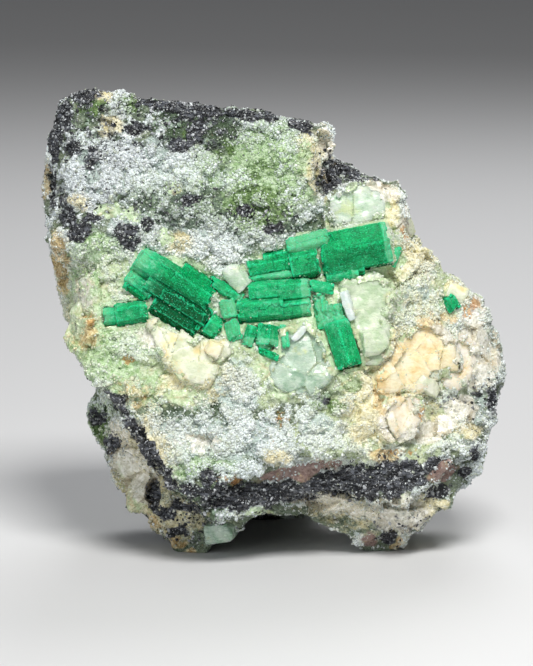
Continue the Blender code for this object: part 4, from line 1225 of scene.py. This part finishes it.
# %% Broken laths and knobs
BROKEN = {  # tail, tip, half width and how far the middle stands out in mm, and whose finish it takes
    "quartz_lath_right": ((10.9, 42.4), (12.5, 37.4), 0.7, 0.1, "bright"),
    "quartz_lath_low": ((2.7, 34.6), (4.9, 36.9), 0.55, 0.1, "bright"),
    "quartz_knob_left": ((-7.4, 46.4), (-4.4, 43.2), 1.7, -0.3, "quartz_upper"),
    "quartz_block_right": ((13.6, 34.2), (17.6, 34.8), 2.2, -0.3, "quartz_right"),
    "feldspar_knob_yellow": ((-10.6, 34.0), (-8.0, 32.8), 1.2, 0.2, "feldspar_amber"),
    "feldspar_knob_cream": ((22.8, 28.2), (25.4, 26.6), 1.4, 0.1, "feldspar_cream"),
    "feldspar_chip_top": ((19.4, 55.8), (21.2, 51.6), 1.4, -0.7, "feldspar_cream"),
    "feldspar_chip_corner": ((27.6, 43.0), (31.0, 41.6), 1.4, -0.7, "feldspar_cream"),
    "quartz_foot": ((-10.8, 3.6), (-6.4, 4.2), 1.7, 0.1, "quartz_lower"),
}
BROKEN_GRID = 0.16  # mm
BREAKS = 9  # planes that cut corners off a block


def broken_block(name, tail, tip, half, proud, finish):
    middle, turn, length = along_face(tail, tip, proud)
    bpy.ops.mesh.primitive_cube_add(size=1.0)
    block = bpy.context.object
    block.name = name
    bpy.ops.object.mode_set(mode="EDIT")
    bpy.ops.mesh.select_all(action="SELECT")
    bpy.ops.transform.resize(value=(length * MM, 2 * half * MM, 1.7 * half * MM))
    for _ in range(BREAKS):
        way = Vector(rng.normal(size=3) * (1.0, 1.0, 0.8)).normalized()
        reach = rng.uniform(0.6, 0.85) * (abs(way.x) * length / 2 + (abs(way.y) + abs(way.z)) * half)
        bpy.ops.mesh.select_all(action="SELECT")
        bpy.ops.mesh.bisect(plane_co=way * reach * MM, plane_no=way, use_fill=True, clear_outer=True)
    bpy.ops.object.mode_set(mode="OBJECT")
    block.matrix_world = Matrix.Translation(middle) @ turn.to_matrix().to_4x4()
    bpy.ops.object.transform_apply(location=True, rotation=True, scale=True)
    apply_modifier(block, "REMESH", "fine grid", mode="VOXEL", voxel_size=BROKEN_GRID * MM)
    apply_modifier(block, "SMOOTH", "worn edges", factor=0.5, iterations=2)
    spots = face_places(points_of(block))
    lift(block, 0.12 * noise_at(spots, 1.2, 2, 43.0) + 0.06)
    alone(block)
    bpy.ops.object.shade_smooth_by_angle(angle=math.radians(30))
    block.data.materials.append(finishes[finish])
    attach(block, "root")
    return block


broken = [broken_block(name, *what) for name, what in BROKEN.items()]
print("Broken blocks:", {obj.name: triangles(obj) for obj in broken})

# %% [markdown]
# ## Sugar grains and mica flakes
# Close up, the crust is thousands of loose-looking grains of feldspar, each a broken crumb with flat
# sides, and the dark band is packed with thin six-sided flakes of mica that flash as the light moves.
# A few crumbs and one flake are modelled, and arrays place copies of them over the stone, more where
# the crust is thick. A particle system would scatter them too, but joined meshes stay real geometry
# in every export.

# %% One crumb of each kind, and one flake
def plain_mesh(obj):
    """The object's points and faces as arrays, and the object is gone."""
    points = points_of(obj)
    faces = [tuple(face.vertices) for face in obj.data.polygons]
    bpy.data.objects.remove(obj)
    return points, faces


def crumb(sides, top_share):
    """A crumb about 1 across: a short column with a smaller, slipped top."""
    bpy.ops.mesh.primitive_cone_add(vertices=sides, radius1=0.6, radius2=0.6 * top_share, depth=0.85)
    bpy.ops.object.mode_set(mode="EDIT")
    bpy.ops.mesh.select_all(action="SELECT")
    bpy.ops.transform.resize(value=(1.0, 0.8, 1.0))
    bpy.ops.object.mode_set(mode="OBJECT")
    return plain_mesh(bpy.context.object)


CRUMBS = [crumb(4, 0.7), crumb(3, 0.8), crumb(4, 0.35)]
FLAKE = crumb(6, 0.9)
print("Triangles in a crumb:", [sum(len(f) - 2 for f in faces) for _, faces in (*CRUMBS, FLAKE)])


# %% Scattering over the stone
def skin_of(obj, minerals):
    """The stone's triangles as arrays: corners, areas, and each mineral's strength at their middles."""
    obj.data.calc_loop_triangles()
    corner = np.empty(len(obj.data.loop_triangles) * 3, np.int32)
    obj.data.loop_triangles.foreach_get("vertices", corner)
    corner = corner.reshape(-1, 3)
    points = points_of(obj)
    sides = points[corner]
    cross = np.cross(sides[:, 1] - sides[:, 0], sides[:, 2] - sides[:, 0])
    area = np.linalg.norm(cross, axis=1)
    middles = {name: values[corner].mean(1) for name, values in minerals.items()}
    return sides, cross / area[:, None], area / 2, middles


stone_skin = skin_of(rock, found)
skin_mineral = stone_skin[3]
SOLE_CLEAR = 0.5  # mm above the floor where the lowest grain may sit


def scatter(skin, count, density, under=crystal_tree):
    """Places on a skin with their outward directions and triangle numbers, none under a crystal."""
    sides, out, area, _ = skin
    share = area * density
    hit = rng.choice(len(share), size=count, p=share / share.sum())
    a, b = rng.random((2, count, 1))
    flip = (a + b) > 1
    a, b = np.where(flip, 1 - a, a), np.where(flip, 1 - b, b)
    corner = sides[hit]
    at = corner[:, 0] + a * (corner[:, 1] - corner[:, 0]) + b * (corner[:, 2] - corner[:, 0])
    clear = np.array([under is None or under.ray_cast(Vector(p), OUTWARD, 0.009)[0] is None for p in at])
    clear &= at[:, 2] > SOLE_CLEAR * MM
    return at[clear], out[hit[clear]], hit[clear]


def turned(outward, lean):
    """A turn for each grain: its own Z near the outward direction, tipped by lean and spun at random."""
    up = outward + lean * rng.normal(size=outward.shape)
    up /= np.linalg.norm(up, axis=1)[:, None]
    side = np.cross(up, rng.normal(size=up.shape))
    side /= np.linalg.norm(side, axis=1)[:, None]
    return np.stack([side, np.cross(up, side), up], axis=2)


def joined(name, shapes, at, turns, sizes, colours):
    """One mesh of many copies: each grain is one of the shapes, turned, sized and coloured."""
    corners, loops, starts, totals, shades = [], [], [], [], []
    first, start = 0, 0
    kinds = np.arange(len(at)) % len(shapes)
    for kind, (points, faces) in enumerate(shapes):
        mine = np.flatnonzero(kinds == kind)
        grown = points[None] * sizes[mine][:, None]
        grown = np.einsum("nij,nkj->nki", turns[mine], grown) + at[mine][:, None]
        corners.append(grown.reshape(-1, 3))
        flat = np.concatenate([np.array(face) for face in faces])
        count = np.array([len(face) for face in faces])
        offset = first + np.arange(len(mine)) * len(points)
        loops.append((flat[None] + offset[:, None]).ravel())
        begin = np.concatenate([[0], np.cumsum(count)[:-1]])
        starts.append((begin[None] + start + (np.arange(len(mine)) * len(flat))[:, None]).ravel())
        totals.append(np.tile(count, len(mine)))
        shades.append(np.repeat(colours[mine], len(points), axis=0))
        first += len(mine) * len(points)
        start += len(mine) * len(flat)
    mesh = bpy.data.meshes.new(name)
    mesh.vertices.add(first)
    mesh.vertices.foreach_set("co", np.concatenate(corners).astype(np.float32).ravel())
    mesh.loops.add(start)
    mesh.loops.foreach_set("vertex_index", np.concatenate(loops).astype(np.int32))
    mesh.polygons.add(sum(map(len, starts)))
    mesh.polygons.foreach_set("loop_start", np.concatenate(starts).astype(np.int32))
    held = mesh.attributes.new("grain_colour", "FLOAT_COLOR", "POINT")
    held.data.foreach_set("color", np.concatenate(shades).astype(np.float32).ravel())
    mesh.update(calc_edges=True)
    made = bpy.data.objects.new(name, mesh)
    scene.collection.objects.link(made)
    return made


# %% Materials of the grains
def grain_finish(name, rough_low, rough_high, ior):
    """The colour comes with each grain, and its fourth number says how dull it is."""
    made, tree, shader = new_material(name)
    own = put(tree, "Attribute", {"attribute_name": "grain_colour"}).outputs
    cloud = put(tree, "TexNoise", Vector=millimetres(tree), Scale=3.0, Detail=2.0).outputs["Fac"]
    shade = tint(tree, 1.0, own["Color"], (0.8, 0.8, 0.8, 1.0), "MULTIPLY")
    fill(tree, shader, Base_Color=tint(tree, span(tree, cloud, 0.35, 0.65), shade, own["Color"]),
         Roughness=span(tree, own["Alpha"], 0.0, 1.0, rough_low, rough_high), IOR=ior)
    return made


sugar_finish = grain_finish("sugar grains", 0.12, 0.55, 1.53)
flake_finish = grain_finish("mica flakes", 0.10, 0.38, 1.6)

# %% Colours and sizes of the grains
def row_of(red, green, blue):
    return np.array(srgb(red, green, blue)[:3])[None]


def washed(shade, share, red, green, blue):
    """Mixes a share of another colour into the shade of each grain."""
    return shade * (1 - share) + row_of(red, green, blue) * share


def crumb_sizes(count, usual, spread, least, most):
    """Sizes in mm, most of them near the usual one, and each crumb longer one way than another."""
    size = np.clip(rng.lognormal(math.log(usual), spread, (count, 1)), least, most)
    return size * rng.uniform(0.7, 1.3, (count, 3))


# %% Laying the sugar
GRAIN_COUNT, GRAIN_PIECES = 63_000, 5
bare = [skin_mineral[k] for k in ("glass", "milk", "brown", "amber", "bed")]
bare = np.clip(np.maximum.reduce([*bare, 0.75 * skin_mineral["cream"]]), 0, 1)
crust = 0.5 + 0.9 * skin_mineral["sugar"] - 0.25 * skin_mineral["cream"]
crust *= 1 - 0.95 * fade(skin_mineral["schist"], 0.2, 0.5)
crust *= (0.06 + skin_mineral["clump"]) * (1 - 0.45 * skin_mineral["fair"])
crust = np.clip(crust, 0.02, 2.0) * (1 - 0.93 * bare) * (0.12 + 0.88 * skin_mineral["front"])
at, outward, hit = scatter(stone_skin, GRAIN_COUNT, crust)
mineral = {name: values[hit][:, None] for name, values in skin_mineral.items()}
one_each = (len(at), 1)

shade = np.repeat(row_of(240, 248, 250), len(at), 0) * rng.uniform(0.88, 1.0, one_each)
shade = np.where(rng.random(one_each) < 0.16, row_of(190, 198, 182), shade)
shade = washed(shade, mineral["fair"] * rng.uniform(0.2, 1, one_each), 228, 236, 216)
# Grains in the murk are darkened too, so they carry its painted shade.
shade = washed(shade, (rng.random(one_each) < 0.5) * np.clip(mineral["murk_and_shade"], 0, 1) * 0.7, 116, 136, 108)
greenish = np.clip(mineral["green"] + mineral["olive"], 0, 1)
shade = washed(shade, greenish * rng.uniform(0, 1, one_each) ** 1.4, 176, 208, 144)
creamy = np.clip(mineral["cream"] + mineral["amber"], 0, 1)
shade = washed(shade, creamy * rng.uniform(0, 1, one_each), 236, 226, 184)
shade = washed(shade, (rng.random(one_each) < 0.7) * np.clip(mineral["schist"], 0, 1) * 0.75, 120, 124, 128)
shade = washed(shade, (rng.random(one_each) < 0.12) * np.clip(mineral["rust"], 0, 1), 206, 138, 58)
dullness = rng.random(one_each) ** 0.7
looks = np.concatenate([shade, dullness], 1)

sizes = crumb_sizes(len(at), 0.27, 0.36, 0.13, 0.7)
at = at + outward * sizes[:, :1] * 0.05 * MM
turns = turned(outward, 0.9)
for number, part in enumerate(np.array_split(rng.permutation(len(at)), GRAIN_PIECES), 1):
    name = f"sugar_grains_{number}"
    grains = joined(name, CRUMBS, at[part], turns[part], sizes[part] * MM, looks[part])
    grains.data.materials.append(sugar_finish)
    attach(grains, "root")
    print(grains.name, triangles(grains), "triangles")

# %% Sugar that has grown over the crystals
def rime_over(crystal, per_mm2, steep, bare_share):
    """Crumbs on one crystal in clumps, most on its steep sides."""
    skin = skin_of(crystal, {})
    clump = noise_at(skin[0].mean(1) / MM, 1.6, 2, 97.0)
    side = fade(skin[1] @ np.array(OUTWARD), *steep)
    density = fade(clump + 0.45 * side, 0.1, 0.35) * (0.2 + side) * (side + bare_share) + 1e-6
    return scatter(skin, int(skin[2].sum() / MM**2 * per_mm2), density, None)[:2]


def lay_rime(name, laid, *tone):
    """One mesh of the crumbs on several crystals, between white and this tone."""
    at, outward = np.concatenate([a for a, _ in laid]), np.concatenate([o for _, o in laid])
    shade = washed(row_of(232, 240, 222), rng.random((len(at), 1)), *tone)
    shade *= rng.uniform(0.86, 1.0, (len(at), 1))
    looks = np.concatenate([shade, rng.random((len(at), 1)) ** 0.7], 1)
    sizes = crumb_sizes(len(at), 0.2, 0.34, 0.12, 0.45)
    rime = joined(name, CRUMBS, at, turned(outward, 0.9), sizes * MM, looks)
    rime.data.materials.append(sugar_finish)
    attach(rime, "root")
    print(rime.name, triangles(rime), "triangles")


on_pale = [rime_over(pale_crystals[node], 2.6, (0.97, 0.6), 0.3) for node in sorted(pale_crystals)]
lay_rime("sugar_on_pale_crystals", on_pale, 216, 226, 196)
on_green = [rime_over(crystal, 2.0, (0.5, 0.1), 0.0) for crystal in (*emeralds.values(), *small_beryls)]
lay_rime("sugar_on_emeralds", on_green, 120, 206, 150)

# %% Laying the mica
FLAKE_COUNT = 8_200
FLAKE_THICK = 0.07  # mm
scaly = np.clip(skin_mineral["schist"], 0, 1) ** 1.5 * (0.4 + 0.6 * skin_mineral["front"])
at, outward, hit = scatter(stone_skin, FLAKE_COUNT, scaly + 1e-4)
wide = np.clip(rng.lognormal(math.log(0.42), 0.35, len(at)), 0.2, 0.9)
sizes = np.stack([wide, wide * rng.uniform(0.6, 1.0, len(at)), np.full(len(at), FLAKE_THICK)], 1)
# The flakes run from near black to pale grey, and the few palest are painted glints.
shade = washed(row_of(30, 32, 36), rng.random((len(at), 1)) ** 4, 196, 200, 204)
turns = turned(outward, 0.35)
looks = np.concatenate([shade, rng.random((len(at), 1))], 1)
flakes = joined("mica_flakes", [FLAKE], at + outward * 0.05 * MM, turns, sizes * MM, looks)
flakes.data.materials.append(flake_finish)
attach(flakes, "root")
print(flakes.name, triangles(flakes), "triangles")

# %% The visual model's box against the CAD box
seen_low, seen_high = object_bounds()
sizes = {"cad": [list(cad_low), list(cad_high)], "visual": [list(seen_low), list(seen_high)]}
print("Visual box in mm:", [round(v / MM, 1) for v in (*seen_low, *seen_high)])
